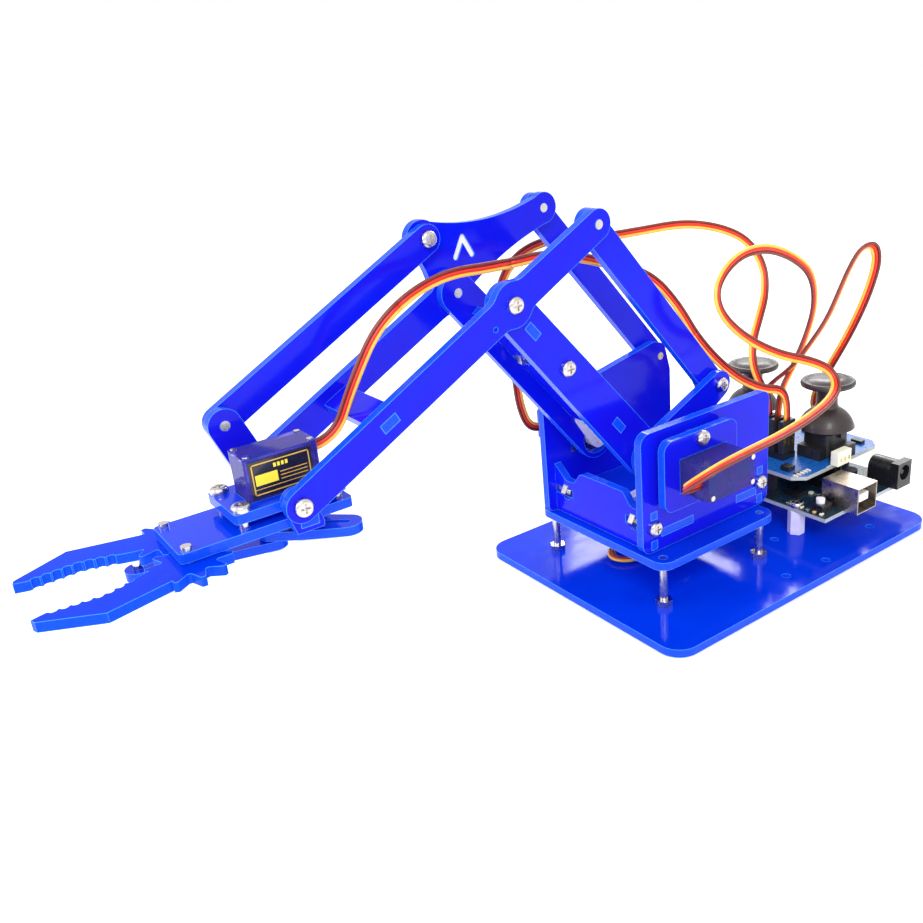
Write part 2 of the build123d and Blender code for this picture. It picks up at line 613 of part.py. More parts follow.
def web_holes(outline, start, angle, tabs, offset=0.0):
    for low, high in tabs:
        centre = along(start, angle, (low + high) / 2, offset)
        outline -= Pos(*centre) * Rot(0, 0, angle) * Rectangle(high - low, SHEET)
    return outline


def lower_arm_outline():
    outline = strap(SHOULDER, ELBOW, 8.2, 6.6)
    outline = web_holes(outline, SHOULDER, LOWER_ANGLE, WEB_TABS)
    return outline - disc(along(SHOULDER, LOWER_ANGLE, WEB_SCREW), HOLE)


def lower_arm_near():
    outline = lower_arm_outline() - disc(SHOULDER, HOLE) - disc(ELBOW, TAPPED)
    return upright(outline, NEAR_1)


def lower_arm_far():
    outline = lower_arm_outline() - disc(SHOULDER, BOSS_RADIUS + 0.4) - disc(ELBOW, TAPPED)
    return upright(outline, FAR_1)


def web(start, angle, span, tabs, inside, outside, screws=(), offset=0.0):
    """A cross plate between two link plates, tabbed into both, with captive nuts at its screws."""
    outline = slot_outline(span, inside)
    for low, high in tabs:
        outline += slot_outline((low, high), outside)
    for distance in screws:
        for edge, inward in ((inside[0], 1), (inside[1], -1)):
            outline -= Pos(distance, edge + inward * 3.8) * Rectangle(2 * HOLE, 7.6)
            outline -= Pos(distance, edge + inward * 4.6) * Rectangle(NUT_FLATS + 0.3, NUT_HEIGHT + 0.3)
    plate = at(0, 0, -SHEET / 2 + offset) * extrude(outline, SHEET)
    return at(start[0], 0, start[1]) * Rot(0, -angle, 0) * plate


ARM_INSIDE = (FAR_1, NEAR_1 - SHEET)
ARM_OUTSIDE = (FAR_1 - SHEET, NEAR_1)
FORE_INSIDE = (FAR_2, NEAR_2 - SHEET)
FORE_OUTSIDE = (FAR_2 - SHEET, NEAR_2)


def lower_arm_web():
    return web(SHOULDER, LOWER_ANGLE, WEB, WEB_TABS, ARM_INSIDE, ARM_OUTSIDE, (WEB_SCREW,))


def lower_arm_fasteners():
    x, z = ELBOW
    wx, wz = along(SHOULDER, LOWER_ANGLE, WEB_SCREW)
    pieces = [
        at(x, NEAR_2, z) * TO_NEAR * screw(2 * SHEET + GAP - 0.1),
        at(x, FAR_3 - SHEET, z) * TO_FAR * screw(3 * SHEET + GAP + 0.2),
        at(wx, NEAR_1, wz) * TO_NEAR * screw(9.0),
        at(wx, FAR_1 - SHEET, wz) * TO_FAR * screw(9.0),
        at(wx, NEAR_1 - SHEET - 5.8, wz) * TO_NEAR * Rot(0, 0, 90 - LOWER_ANGLE) * nut(),
        at(wx, FAR_1 + 5.8, wz) * TO_FAR * Rot(0, 0, LOWER_ANGLE - 90) * nut(),
    ]
    hub = FAR_1 - (FAR_PANEL + EAR_TO_BOSS) - 0.3
    pieces.append(at(SHOULDER[0], FAR_1, SHOULDER[1]) * TO_NEAR * horn(hub, -LOWER_ANGLE))
    return pieces


def elbow_lever():
    outline = strap(SHOULDER, LEVER_END, 8.0, 5.2)
    outline -= disc(SHOULDER, TAPPED)
    outline -= disc(LEVER_END, HOLE)
    return upright(outline, NEAR_2)


def elbow_horn():
    hub = NEAR_PANEL - EAR_TO_BOSS - (NEAR_2 + HORN_PLATE) - 0.3
    turned = at(SHOULDER[0], NEAR_2 + HORN_PLATE, SHOULDER[1]) * TO_FAR * horn(hub, FORE_ANGLE + 180)
    pin = at(SHOULDER[0], NEAR_1 - SHEET, SHOULDER[1]) * TO_FAR * screw(2 * SHEET + GAP)
    return turned, pin


def elbow_rod():
    outline = strap(FORE_TAIL, LEVER_END, 5.0)
    outline -= disc(FORE_TAIL, HOLE)
    outline -= disc(LEVER_END, TAPPED)
    return upright(outline, NEAR_1)


def rod_tail_screw():
    return at(FORE_TAIL[0], NEAR_1 - SHEET, FORE_TAIL[1]) * TO_FAR * screw(2 * SHEET + GAP + 0.2)


LEVER_WASHER = (5.6, 1.2)    # radius and thickness
PIN_GAP = 0.3                # between the rod and the washer behind it


def lever_pin():
    """Screw through the lever and the rod, with a broad washer and a lock nut behind them."""
    radius, thick = LEVER_WASHER
    layers = 2 * SHEET + GAP + PIN_GAP
    washer = Pos(0, 0, -layers - thick / 2) * (Cylinder(radius, thick) - Cylinder(SHANK, thick))
    lock_nut = Pos(0, 0, -layers - thick - 3.6) * nut(3.6)
    pin = screw(layers + thick + 3.6) + washer
    return [at(LEVER_END[0], NEAR_2, LEVER_END[1]) * TO_NEAR * solid for solid in (pin, lock_nut)]


# ---------------------------------------------------------------- forearm
FORE_TABS = ((50.5, 56.5),)
FORE_WEB = (48.5, 58.0)


def forearm_outline(tail):
    """A forearm plate whose round elbow hub blends into its straps."""
    outline = strap(ELBOW, WRIST, 5.2, 5.0) + disc(ELBOW, 7.4)
    if tail:
        outline += strap(ELBOW, FORE_TAIL, 5.2, 5.0)
    necks = [v for v in outline.vertices() if hypot(v.X - ELBOW[0], v.Y - ELBOW[1]) < 7.5]
    outline = fillet(necks, 6.0)
    outline -= disc(ELBOW, HOLE)
    outline -= disc(WRIST, HOLE)
    if tail:
        outline -= disc(FORE_TAIL, TAPPED)
        outline -= disc(along(ELBOW, FORE_ANGLE, 9.5, -1.8), 0.8)
    return web_holes(outline, ELBOW, FORE_ANGLE, FORE_TABS)


def forearm_near():
    return upright(forearm_outline(True), NEAR_2)


def forearm_far():
    return upright(forearm_outline(False), FAR_2)


def forearm_web():
    return web(ELBOW, FORE_ANGLE, FORE_WEB, FORE_TABS, FORE_INSIDE, FORE_OUTSIDE)


# ---------------------------------------------------------------- levelling linkage
def hollow_outline(corners, radii, hollows):
    """Outline with round corners and sides that bow inward; corners run anticlockwise."""
    sides = []
    count = len(corners)
    for index, hollow in enumerate(hollows):
        start, end = corners[index], corners[(index + 1) % count]
        low, high = radii[index], radii[(index + 1) % count]
        run = hypot(end[0] - start[0], end[1] - start[1])
        out = ((end[1] - start[1]) / run, (start[0] - end[0]) / run)
        depth = (low + high) / 2 - hollow
        middle = ((start[0] + end[0]) / 2 + out[0] * depth, (start[1] + end[1]) / 2 + out[1] * depth)
        first = (start[0] + out[0] * low, start[1] + out[1] * low)
        last = (end[0] + out[0] * high, end[1] + out[1] * high)
        sides.append(ThreePointArc(first, middle, last))
    joins = [Line(sides[index] @ 1, sides[(index + 1) % count] @ 0) for index in range(count)]
    outline = make_face([*sides, *joins])
    for corner, radius in zip(corners, radii):
        outline += disc(corner, radius)
    return outline


MARK_PEAK = (60.6, 135.0)          # top of the plain chevron engraved in the triangle
MARK_HEIGHT = 6.2
MARK_SPREAD = 6.6
MARK_STROKE = 1.9
MARK_DEPTH = 0.5


def chevron():
    """Plain chevron of two equal strokes."""
    x, z = MARK_PEAK
    feet = [(x + side * MARK_SPREAD / 2, z - MARK_HEIGHT) for side in (-1, 1)]
    return strap(MARK_PEAK, feet[0], MARK_STROKE / 2) + strap(MARK_PEAK, feet[1], MARK_STROKE / 2)


def triangle_plate():
    """Three-cornered plate with hollowed edges that keeps the hand level."""
    outline = hollow_outline((ELBOW, TRIANGLE_FRONT, TRIANGLE_REAR), (6.4, 6.0, 5.4), (2.2, 4.4, 2.6))
    for corner in (ELBOW, TRIANGLE_FRONT):
        outline -= disc(corner, HOLE)
    plate = upright(outline - disc(TRIANGLE_REAR, TAPPED), FAR_3)
    return plate - upright(chevron(), FAR_3, MARK_DEPTH)


def triangle_front_screw():
    x, z = TRIANGLE_FRONT
    return at(x, FAR_2, z) * TO_NEAR * screw(2 * SHEET + 0.3)


def level_rod_screws():
    """Screws at both ends of the lower levelling rod, with a washer at the triangle."""
    washer_low, washer_high = FAR_4, FAR_3 - SHEET
    rear = at(TRIANGLE_REAR[0], FAR_4 - SHEET, TRIANGLE_REAR[1]) * TO_FAR * screw(7.8)
    foot = at(REAR_CRANK[0], FAR_4 - SHEET, REAR_CRANK[1]) * TO_FAR * screw(6.5)
    thick = washer_high - washer_low - 0.1
    washer = Cylinder(3.5, thick) - Cylinder(HOLE, thick)
    middle = (washer_low + washer_high) / 2
    washer = at(TRIANGLE_REAR[0], middle, TRIANGLE_REAR[1]) * TO_NEAR * washer
    return rear, foot, washer


def lower_level_rod():
    outline = strap(TRIANGLE_REAR, REAR_CRANK, 5.0)
    outline -= disc(TRIANGLE_REAR, HOLE)
    outline -= disc(REAR_CRANK, HOLE)
    return upright(outline, FAR_4)


def upper_level_rod():
    outline = strap(TRIANGLE_FRONT, HAND_CRANK, 4.8)
    outline -= disc(TRIANGLE_FRONT, HOLE)
    outline -= disc(HAND_CRANK, HOLE)
    return upright(outline, FAR_2)


def wrist_screws():
    x, z = WRIST
    near = at(x, NEAR_2, z) * TO_NEAR * screw(2 * SHEET + GAP - 0.1)
    far = at(x, FAR_2 - SHEET, z) * TO_FAR * screw(2 * SHEET + GAP - 0.1)
    return near, far


# ---------------------------------------------------------------- hand
HAND_Y = (MIDDLE - HAND_HALF, MIDDLE + HAND_HALF)
COLLAR_SCREW_X = (COLLAR_X[0] + 2.6, COLLAR_X[1] - 3.0)
COLLAR_SCREW_Y = (MIDDLE - 8.7, MIDDLE + 8.7)
BRACKET_FOOT = WRIST[0] - 2.6
BRACKET_TABS = (BRACKET_FOOT - 2.8, BRACKET_FOOT + 2.8)
JAW_Y = (MIDDLE - JAW_SPACING / 2, MIDDLE + JAW_SPACING / 2)


def hand_plates():
    """Floor plate that the jaws hang from, and the collar that holds the gripper servo down."""
    floor = rounded(FLOOR_X, HAND_Y, 1.5)
    floor += slot_outline(BRACKET_TABS, (FAR_1 - SHEET, NEAR_1))
    floor -= Pos(*GRIP_SHAFT) * body_window()
    collar = rounded(COLLAR_X, (MIDDLE - 11.3, MIDDLE + 11.3), 1.5)
    collar -= Pos(*GRIP_SHAFT) * body_window()
    for x in COLLAR_SCREW_X:
        for y in COLLAR_SCREW_Y:
            floor -= disc((x, y), TAPPED)
            collar -= disc((x, y), HOLE)
    for y in JAW_Y:
        floor -= disc((JAW_X, y), TAPPED)
    return (
        at(0, 0, FLOOR_TOP - SHEET) * extrude(floor, SHEET),
        at(0, 0, FLOOR_TOP + EAR_THICK) * extrude(collar, SHEET),
    )


def hand_brackets():
    """Upright plates at the hand's two sides: the far one also takes the levelling rod."""
    foot = (BRACKET_FOOT, FLOOR_TOP - SHEET)
    near = strap(WRIST, foot, 4.2, 4.4)
    far = strap(WRIST, foot, 5.4) + strap(WRIST, HAND_CRANK, 5.4, 5.2)
    below = slot_outline((foot[0] - 12, foot[0] + 12), (foot[1] - 12, foot[1] - 1.4))
    tabs = slot_outline(BRACKET_TABS, (foot[1], foot[1] + SHEET))
    near = near - below - tabs - disc(WRIST, HOLE)
    far = far - below - tabs - disc(WRIST, HOLE) - disc(HAND_CRANK, TAPPED)
    return upright(near, NEAR_1), upright(far, FAR_1)


def hand_fasteners():
    pieces = []
    for x in COLLAR_SCREW_X:
        for y in COLLAR_SCREW_Y:
            pieces.append(at(x, y, FLOOR_TOP + EAR_THICK + SHEET) * screw(8.3))
    for y in JAW_Y:
        pieces.append(at(JAW_X, y, JAW_TOP - SHEET) * DOWN * screw(2 * SHEET + GAP + 1.3))
    crank = at(HAND_CRANK[0], FAR_2 - SHEET, HAND_CRANK[1]) * TO_FAR * screw(2 * SHEET + GAP + 0.1)
    return [*pieces, crank]


TEETH = 10
PITCH_RADIUS = JAW_SPACING / 2
TOOTH_TIP = PITCH_RADIUS + 1.7
TOOTH_ROOT = PITCH_RADIUS - 2.2
TOOTH_ROUND = 0.55
FINGER_INNER = ((10.0, -2.4), (14.0, -1.0), (23.3, 2.2), (37.5, 1.2))
FINGER_OUTER = ((41.2, 2.4), (40.6, 4.2), (25.1, 12.7), (6.0, 7.6))
WAVES = 8
WAVE_PITCH = 2.8


def gear_outline(phase):
    """Coarse gear of rounded trapezoid teeth about the origin."""
    outline = Circle(TOOTH_ROOT)
    half_pitch = pi * PITCH_RADIUS / TEETH / 2
    for index in range(TEETH):
        tooth = make_face(
            Polyline(
                (TOOTH_ROOT - 1.0, -half_pitch * 1.42), (TOOTH_TIP, -half_pitch * 0.46),
                (TOOTH_TIP, half_pitch * 0.46), (TOOTH_ROOT - 1.0, half_pitch * 1.42), close=True,
            )
        )
        outline += Rot(0, 0, phase + index * 360 / TEETH) * tooth
    return fillet(outline.vertices(), TOOTH_ROUND)


def jaw(side):
    """A jaw about its pivot, for side +1 (near) or -1 (far): gear segment and waved finger."""
    phase = -90 * side if side > 0 else 90 + 180 / TEETH
    gear = gear_outline(phase)
    inner = FINGER_INNER
    finger = [(x, side * y) for x, y in ((0.0, -5.0), *inner, *FINGER_OUTER, (0.0, 7.0))]
    outline = gear + make_face(Polyline(*finger, close=True))
    (low_x, low_y), (bend_x, bend_y), (high_x, high_y) = inner[1:]
    for index in range(WAVES):
        x = low_x + 2.0 + index * WAVE_PITCH
        rise = (bend_y - low_y) / (bend_x - low_x)
        if x > bend_x:
            rise = (high_y - bend_y) / (high_x - bend_x)
        y = bend_y + rise * (x - bend_x)
        outline -= at(x, side * (y - 0.35), 0) * Circle(1.2)
    outline -= Circle(HOLE)
    outline -= disc((CRANK[0], -side * CRANK[1]), TAPPED)
    return outline


def jaw_solid(side):
    y = JAW_Y[1] if side > 0 else JAW_Y[0]
    return at(JAW_X, y, JAW_TOP - SHEET) * extrude(jaw(side), SHEET)


def drive_screws():
    """From below, the far jaw's long screw carries the drive link and the near jaw has a short one."""
    x = JAW_X + CRANK[0]
    link_under = LINK_TOP - SHEET
    far = at(x, JAW_Y[0] + CRANK[1], link_under) * DOWN * screw(JAW_TOP - link_under)
    near = at(x, JAW_Y[1] - CRANK[1], JAW_TOP - SHEET) * DOWN * screw(SHEET)
    return near, far


REAR_ARM = (13.4, 139.0)      # the lever's rear arm: length, angle


def gripper_lever():
    """Lever on the gripper servo: a short front arm for the link and a slotted rear arm."""
    rear = polar((0, 0), *REAR_ARM)
    outline = strap((0, 0), rear, 6.0, 4.6) + strap((0, 0), CRANK, 6.0, 4.2)
    slot = Rot(0, 0, REAR_ARM[1]) * Pos(REAR_ARM[0] - 3.6, 0) * SlotOverall(9.0, 2.2)
    outline = outline - slot - Circle(3.7) - disc(CRANK, TAPPED)
    return at(GRIP_SHAFT[0], GRIP_SHAFT[1], LEVER_TOP - SHEET) * extrude(outline, SHEET)


def gripper_lever_parts():
    hub = FLOOR_TOP - EAR_TO_BOSS - (LEVER_TOP - SHEET) - 0.3
    turned = at(GRIP_SHAFT[0], GRIP_SHAFT[1], LEVER_TOP - SHEET) * DOWN * horn(hub, -REAR_ARM[1], 10.0)
    pin = at(GRIP_SHAFT[0] + CRANK[0], GRIP_SHAFT[1] + CRANK[1], LINK_TOP - SHEET) * DOWN * screw(
        2 * SHEET + GAP - 0.1
    )
    return turned, pin


def gripper_link():
    start = (GRIP_SHAFT[0] + CRANK[0], GRIP_SHAFT[1] + CRANK[1])
    end = (JAW_X + CRANK[0], JAW_Y[0] + CRANK[1])
    outline = strap(start, end, 4.2, 4.0) - disc(start, HOLE) - disc(end, HOLE)
    return at(0, 0, LINK_TOP - SHEET) * extrude(outline, SHEET)


# ---------------------------------------------------------------- servo leads
LEAD_RADIUS = 1.2
LEADS = {
    "gripper": [
        (133.8, -6.2, 86.5), (125.3, -6.2, 86.5), (117.5, -6.0, 101.5), (105.0, -6.2, 119.0),
        (84.0, -5.6, 128.5), (60.0, -6.2, 127.0), (37.0, -6.0, 127.5), (14.0, -6.2, 120.0),
        (-5.5, -5.0, 112.5), (-17.0, -3.0, 99.5), (-24.0, 1.0, 84.5), (-36.0, 6.5, 69.5),
        (-50.0, 10.0, 60.5), (-60.0, 11.5, 58.5), (-64.0, 11.5, 51.5), (-64.0, 11.5, 44.2),
    ],
    "elbow": [
        (17.95, 41.0, 51.0), (24.5, 41.0, 51.3), (29.5, 43.5, 53.5), (29.5, 49.5, 58.5),
        (22.0, 53.0, 62.5), (10.0, 54.5, 64.5), (-4.0, 55.0, 65.5), (-22.0, 53.0, 66.5),
        (-39.0, 49.0, 67.5), (-49.0, 44.5, 69.5), (-50.0, 40.5, 74.5), (-42.5, 37.0, 79.0),
        (-31.0, 33.0, 83.0), (-19.0, 28.5, 90.5), (-10.0, 25.0, 100.0), (-8.5, 23.0, 108.5),
        (-15.5, 21.0, 115.0), (-27.5, 19.0, 118.8), (-42.0, 18.0, 118.0), (-59.0, 16.0, 111.5),
        (-72.0, 14.5, 103.0), (-78.0, 12.5, 90.0), (-76.0, 10.5, 77.0), (-70.5, 8.5, 64.5),
        (-64.0, 7.0, 54.0), (-64.0, 7.0, 44.2),
    ],
    "shoulder": [
        (17.95, -44.5, 51.0), (24.0, -44.5, 51.0), (27.5, -46.0, 61.0), (27.0, -48.0, 76.0),
        (30.0, -47.5, 92.0), (33.5, -46.5, 106.0), (29.0, -46.0, 116.5), (19.0, -45.0, 123.0),
        (3.0, -43.5, 124.5), (-15.0, -41.0, 121.5), (-34.0, -38.0, 121.5), (-52.0, -33.0, 122.0),
        (-66.5, -27.0, 118.5), (-76.0, -20.5, 112.5), (-79.5, -14.5, 102.0), (-76.0, -10.5, 91.0),
        (-68.0, -7.0, 83.0), (-60.5, -4.0, 75.0), (-57.5, -1.0, 66.0), (-60.5, 1.5, 57.0),
        (-64.0, 2.5, 51.0), (-64.0, 2.5, 44.2),
    ],
    "base": [
        (5.95, 0.0, 4.4), (12.5, 0.0, 4.4), (17.5, -6.0, 4.6), (12.0, -12.5, 4.8),
        (-1.0, -13.5, 5.0), (-20.0, -11.0, 6.0), (-40.0, -6.0, 7.0), (-60.0, -2.5, 6.5),
        (-80.0, -1.0, 6.8), (-95.0, -1.5, 6.6), (-106.0, -2.0, 11.0), (-109.0, -2.0, 22.0),
        (-103.0, -2.0, 32.0), (-96.0, 0.0, 41.0), (-94.5, 5.0, 52.0), (-93.5, 12.0, 64.0),
        (-92.0, 19.0, 76.0), (-90.5, 25.0, 88.0), (-88.5, 29.5, 98.0), (-87.5, 32.0, 107.0),
        (-84.0, 32.5, 113.5), (-78.5, 31.0, 113.0), (-76.0, 28.5, 106.5), (-74.0, 26.0, 97.5),
        (-72.0, 22.5, 86.0), (-69.5, 16.5, 75.0),
        (-67.5, 11.0, 66.0), (-64.8, 2.0, 57.5), (-64.0, -2.0, 51.0), (-64.0, -2.0, 44.2),
    ],
}


def lead(route):
    """A servo lead: straight runs joined by arcs as large as the runs allow."""
    points = [Vector(*point) for point in route]
    radii = []
    for before, corner, after in zip(points, points[1:], points[2:]):
        arriving, leaving = corner - before, after - corner
        half_turn = radians(arriving.get_angle(leaving) / 2)
        radii.append(0.45 * min(arriving.length, leaving.length) * cos(half_turn) / sin(half_turn))
    path = FilletPolyline(*points, radius=radii)
    print("lead radii", [round(radius, 1) for radius in radii], "length", round(path.length, 1))
    section = Plane(origin=points[0], z_dir=points[1] - points[0]) * Circle(LEAD_RADIUS)
    return sweep(section, path=path)


# ---------------------------------------------------------------- build everything
def main():
    save("base_plate", base_plate())
    save("deck_plate", deck_plate())
    save("base_fasteners", *base_fasteners())
    save("base_servo_case", BASE_SERVO * servo_case())
    save("base_servo_works", *[BASE_SERVO * s for s in servo_works()])
    save("base_servo_collar", base_collar())
    save("board_spacers", *board_spacers())
    save("controller_board", controller_board())
    save("controller_parts", *controller_parts())
    save("board_sockets", *board_sockets())
    save("shield_board", shield_board())
    save("shield_parts", *shield_parts())
    save("joystick_frames", *joystick_frames())
    save("servo_plugs", *servo_plugs())
    save("reset_button", reset_button())
    for side, (x, y) in STICKS.items():
        save(f"{side}_stick_yoke", stick_yoke(x, y))
        save(f"{side}_stick_shaft", stick_shaft(x, y))
        save(f"{side}_stick_cap", stick_cap(x, y))
    save("turret_floor", turret_floor())
    save("near_panel", near_panel())
    save("far_panel", far_panel())
    save("cross_panels", *cross_panels())
    save("servo_collars", *servo_collars())
    save("turret_fasteners", *turret_fasteners())
    save("elbow_servo_case", ELBOW_SERVO * servo_case())
    save("shoulder_servo_case", SHOULDER_SERVO * servo_case())
    save("turret_servo_works", *[p * s for p in (ELBOW_SERVO, SHOULDER_SERVO) for s in servo_works()])
    save("lower_arm_near", lower_arm_near())
    save("lower_arm_far", lower_arm_far())
    save("lower_arm_web", lower_arm_web())
    save("lower_arm_fasteners", *lower_arm_fasteners())
    save("elbow_lever", elbow_lever())
    save("elbow_horn", *elbow_horn())
    save("elbow_rod", elbow_rod())
    save("rod_tail_screw", rod_tail_screw())
    save("lever_pin", *lever_pin())
    save("forearm_near", forearm_near())
    save("forearm_far", forearm_far())
    save("forearm_webs", forearm_web())
    save("triangle_plate", triangle_plate())
    save("triangle_front_screw", triangle_front_screw())
    save("level_rod_screws", *level_rod_screws())
    save("lower_level_rod", lower_level_rod())
    save("upper_level_rod", upper_level_rod())
    save("hand_plates", *hand_plates())
    save("hand_brackets", *hand_brackets())
    save("hand_fasteners", *hand_fasteners(), *wrist_screws())
    save("gripper_servo_case", GRIP_SERVO * servo_case())
    save("gripper_servo_works", *[GRIP_SERVO * s for s in servo_works()])
    near_screw, far_screw = drive_screws()
    save("near_jaw", jaw_solid(1), near_screw)
    save("far_jaw", jaw_solid(-1), far_screw)
    save("gripper_lever", gripper_lever(), *gripper_lever_parts())
    save("gripper_link", gripper_link())
    for name, route in LEADS.items():
        save(f"{name}_lead", lead(route))


main()
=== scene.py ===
"""Looks of the desktop robot arm: acrylic plates, servos, ribbon leads, boards and thumb sticks."""
import math

import bmesh
import bpy
from mathutils import Matrix, Quaternion, Vector


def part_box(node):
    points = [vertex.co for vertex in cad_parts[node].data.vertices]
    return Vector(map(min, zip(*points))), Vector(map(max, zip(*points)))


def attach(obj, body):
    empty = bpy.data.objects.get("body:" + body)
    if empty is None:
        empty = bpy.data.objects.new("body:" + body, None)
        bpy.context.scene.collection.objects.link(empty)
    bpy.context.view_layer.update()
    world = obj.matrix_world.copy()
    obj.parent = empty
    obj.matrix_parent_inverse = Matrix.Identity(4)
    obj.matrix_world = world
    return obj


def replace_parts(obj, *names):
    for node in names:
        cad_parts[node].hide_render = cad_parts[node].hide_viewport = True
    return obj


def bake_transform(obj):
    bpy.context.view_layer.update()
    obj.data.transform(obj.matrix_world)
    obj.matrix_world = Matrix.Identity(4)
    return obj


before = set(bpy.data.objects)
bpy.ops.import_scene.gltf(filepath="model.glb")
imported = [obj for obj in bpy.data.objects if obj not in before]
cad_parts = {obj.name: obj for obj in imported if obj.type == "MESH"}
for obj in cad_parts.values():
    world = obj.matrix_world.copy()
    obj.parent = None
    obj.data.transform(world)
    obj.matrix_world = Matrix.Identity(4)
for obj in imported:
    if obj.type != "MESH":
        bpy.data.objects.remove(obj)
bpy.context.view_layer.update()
MM = 0.001


# ---------------------------------------------------------------- small helpers
def link(obj):
    bpy.context.scene.collection.objects.link(obj)
    return obj


def mm(point):
    return Vector(point) * MM


def mesh_piece(name, bm, materials):
    """A mesh object from a bmesh built in the row frame, with its materials."""
    bmesh.ops.recalc_face_normals(bm, faces=bm.faces)
    mesh = bpy.data.meshes.new(name)
    bm.to_mesh(mesh)
    bm.free()
    for material in materials:
        mesh.materials.append(material)
    return link(bpy.data.objects.new(name, mesh))


def add_box(bm, low, high, slot=0, bevel=0.0):
    """A box between two corners in millimetres, with bevelled edges if bevel isn't zero."""
    made = bmesh.ops.create_cube(bm, size=1.0)
    verts = made["verts"]
    size = Vector([h - l for l, h in zip(low, high)]) * MM
    centre = Vector([(h + l) / 2 for l, h in zip(low, high)]) * MM
    for vert in verts:
        vert.co = Vector([vert.co[i] * size[i] + centre[i] for i in range(3)])
    faces = {face for vert in verts for face in vert.link_faces}
    for face in faces:
        face.material_index = slot
    if bevel:
        edges = {edge for vert in verts for edge in vert.link_edges}
        bmesh.ops.bevel(bm, geom=list(edges), offset=bevel * MM, segments=2, profile=0.6, affect="EDGES")
    return faces


def lathe(profile, segments=64):
    """A bmesh turned about Z from (radius, height) points in millimetres."""
    bm = bmesh.new()
    rings = []
    for radius, height in profile:
        if radius == 0:
            rings.append([bm.verts.new((0, 0, height * MM))])
            continue
        ring = []
        for index in range(segments):
            angle = 2 * math.pi * index / segments
            place = (radius * MM * math.cos(angle), radius * MM * math.sin(angle), height * MM)
            ring.append(bm.verts.new(place))
        rings.append(ring)
    for lower, upper in zip(rings, rings[1:]):
        for index in range(segments):
            after = (index + 1) % segments
            corners = [lower[index % len(lower)], lower[after % len(lower)]]
            corners += [upper[after % len(upper)], upper[index % len(upper)]]
            unique = list(dict.fromkeys(corners))
            if len(unique) > 2:
                bm.faces.new(unique)
    return bm


def smooth(obj, angle=35):
    """Smooth shading with sharp edges kept."""
    for polygon in obj.data.polygons:
        polygon.use_smooth = True
    bm = bmesh.new()
    bm.from_mesh(obj.data)
    for edge in bm.edges:
        if len(edge.link_faces) == 2 and edge.calc_face_angle(0) > math.radians(angle):
            edge.smooth = False
    bm.to_mesh(obj.data)
    bm.free()
    return obj


# ---------------------------------------------------------------- camera
CAMERA_PLACE = (233.16, 240.20, 181.64)
CAMERA_AZIMUTH = 56.82
CAMERA_ELEVATION = 21.92
CAMERA_ROLL = -5.48
CAMERA_LENS = 36.39
CAMERA_SHIFT = (-0.0265, -0.0014)


def make_camera():
    azimuth = math.radians(CAMERA_AZIMUTH)
    elevation = math.radians(CAMERA_ELEVATION)
    level = math.cos(elevation)
    out = Vector((level * math.cos(azimuth), level * math.sin(azimuth), math.sin(elevation)))
    right = (-out).cross(Vector((0, 0, 1))).normalized()
    up = right.cross(-out)
    roll = math.radians(CAMERA_ROLL)
    turned_right = right * math.cos(roll) + up * math.sin(roll)
    turned_up = up * math.cos(roll) - right * math.sin(roll)
    data = bpy.data.cameras.new("camera")
    data.lens = CAMERA_LENS
    data.sensor_width = 36
    data.shift_x, data.shift_y = CAMERA_SHIFT
    data.clip_start = 0.01
    camera = link(bpy.data.objects.new("camera", data))
    turn = Matrix((turned_right, turned_up, out)).transposed().to_4x4()
    data.clip_end = 200
    camera.matrix_world = Matrix.Translation(mm(CAMERA_PLACE)) @ turn
    bpy.context.scene.camera = camera


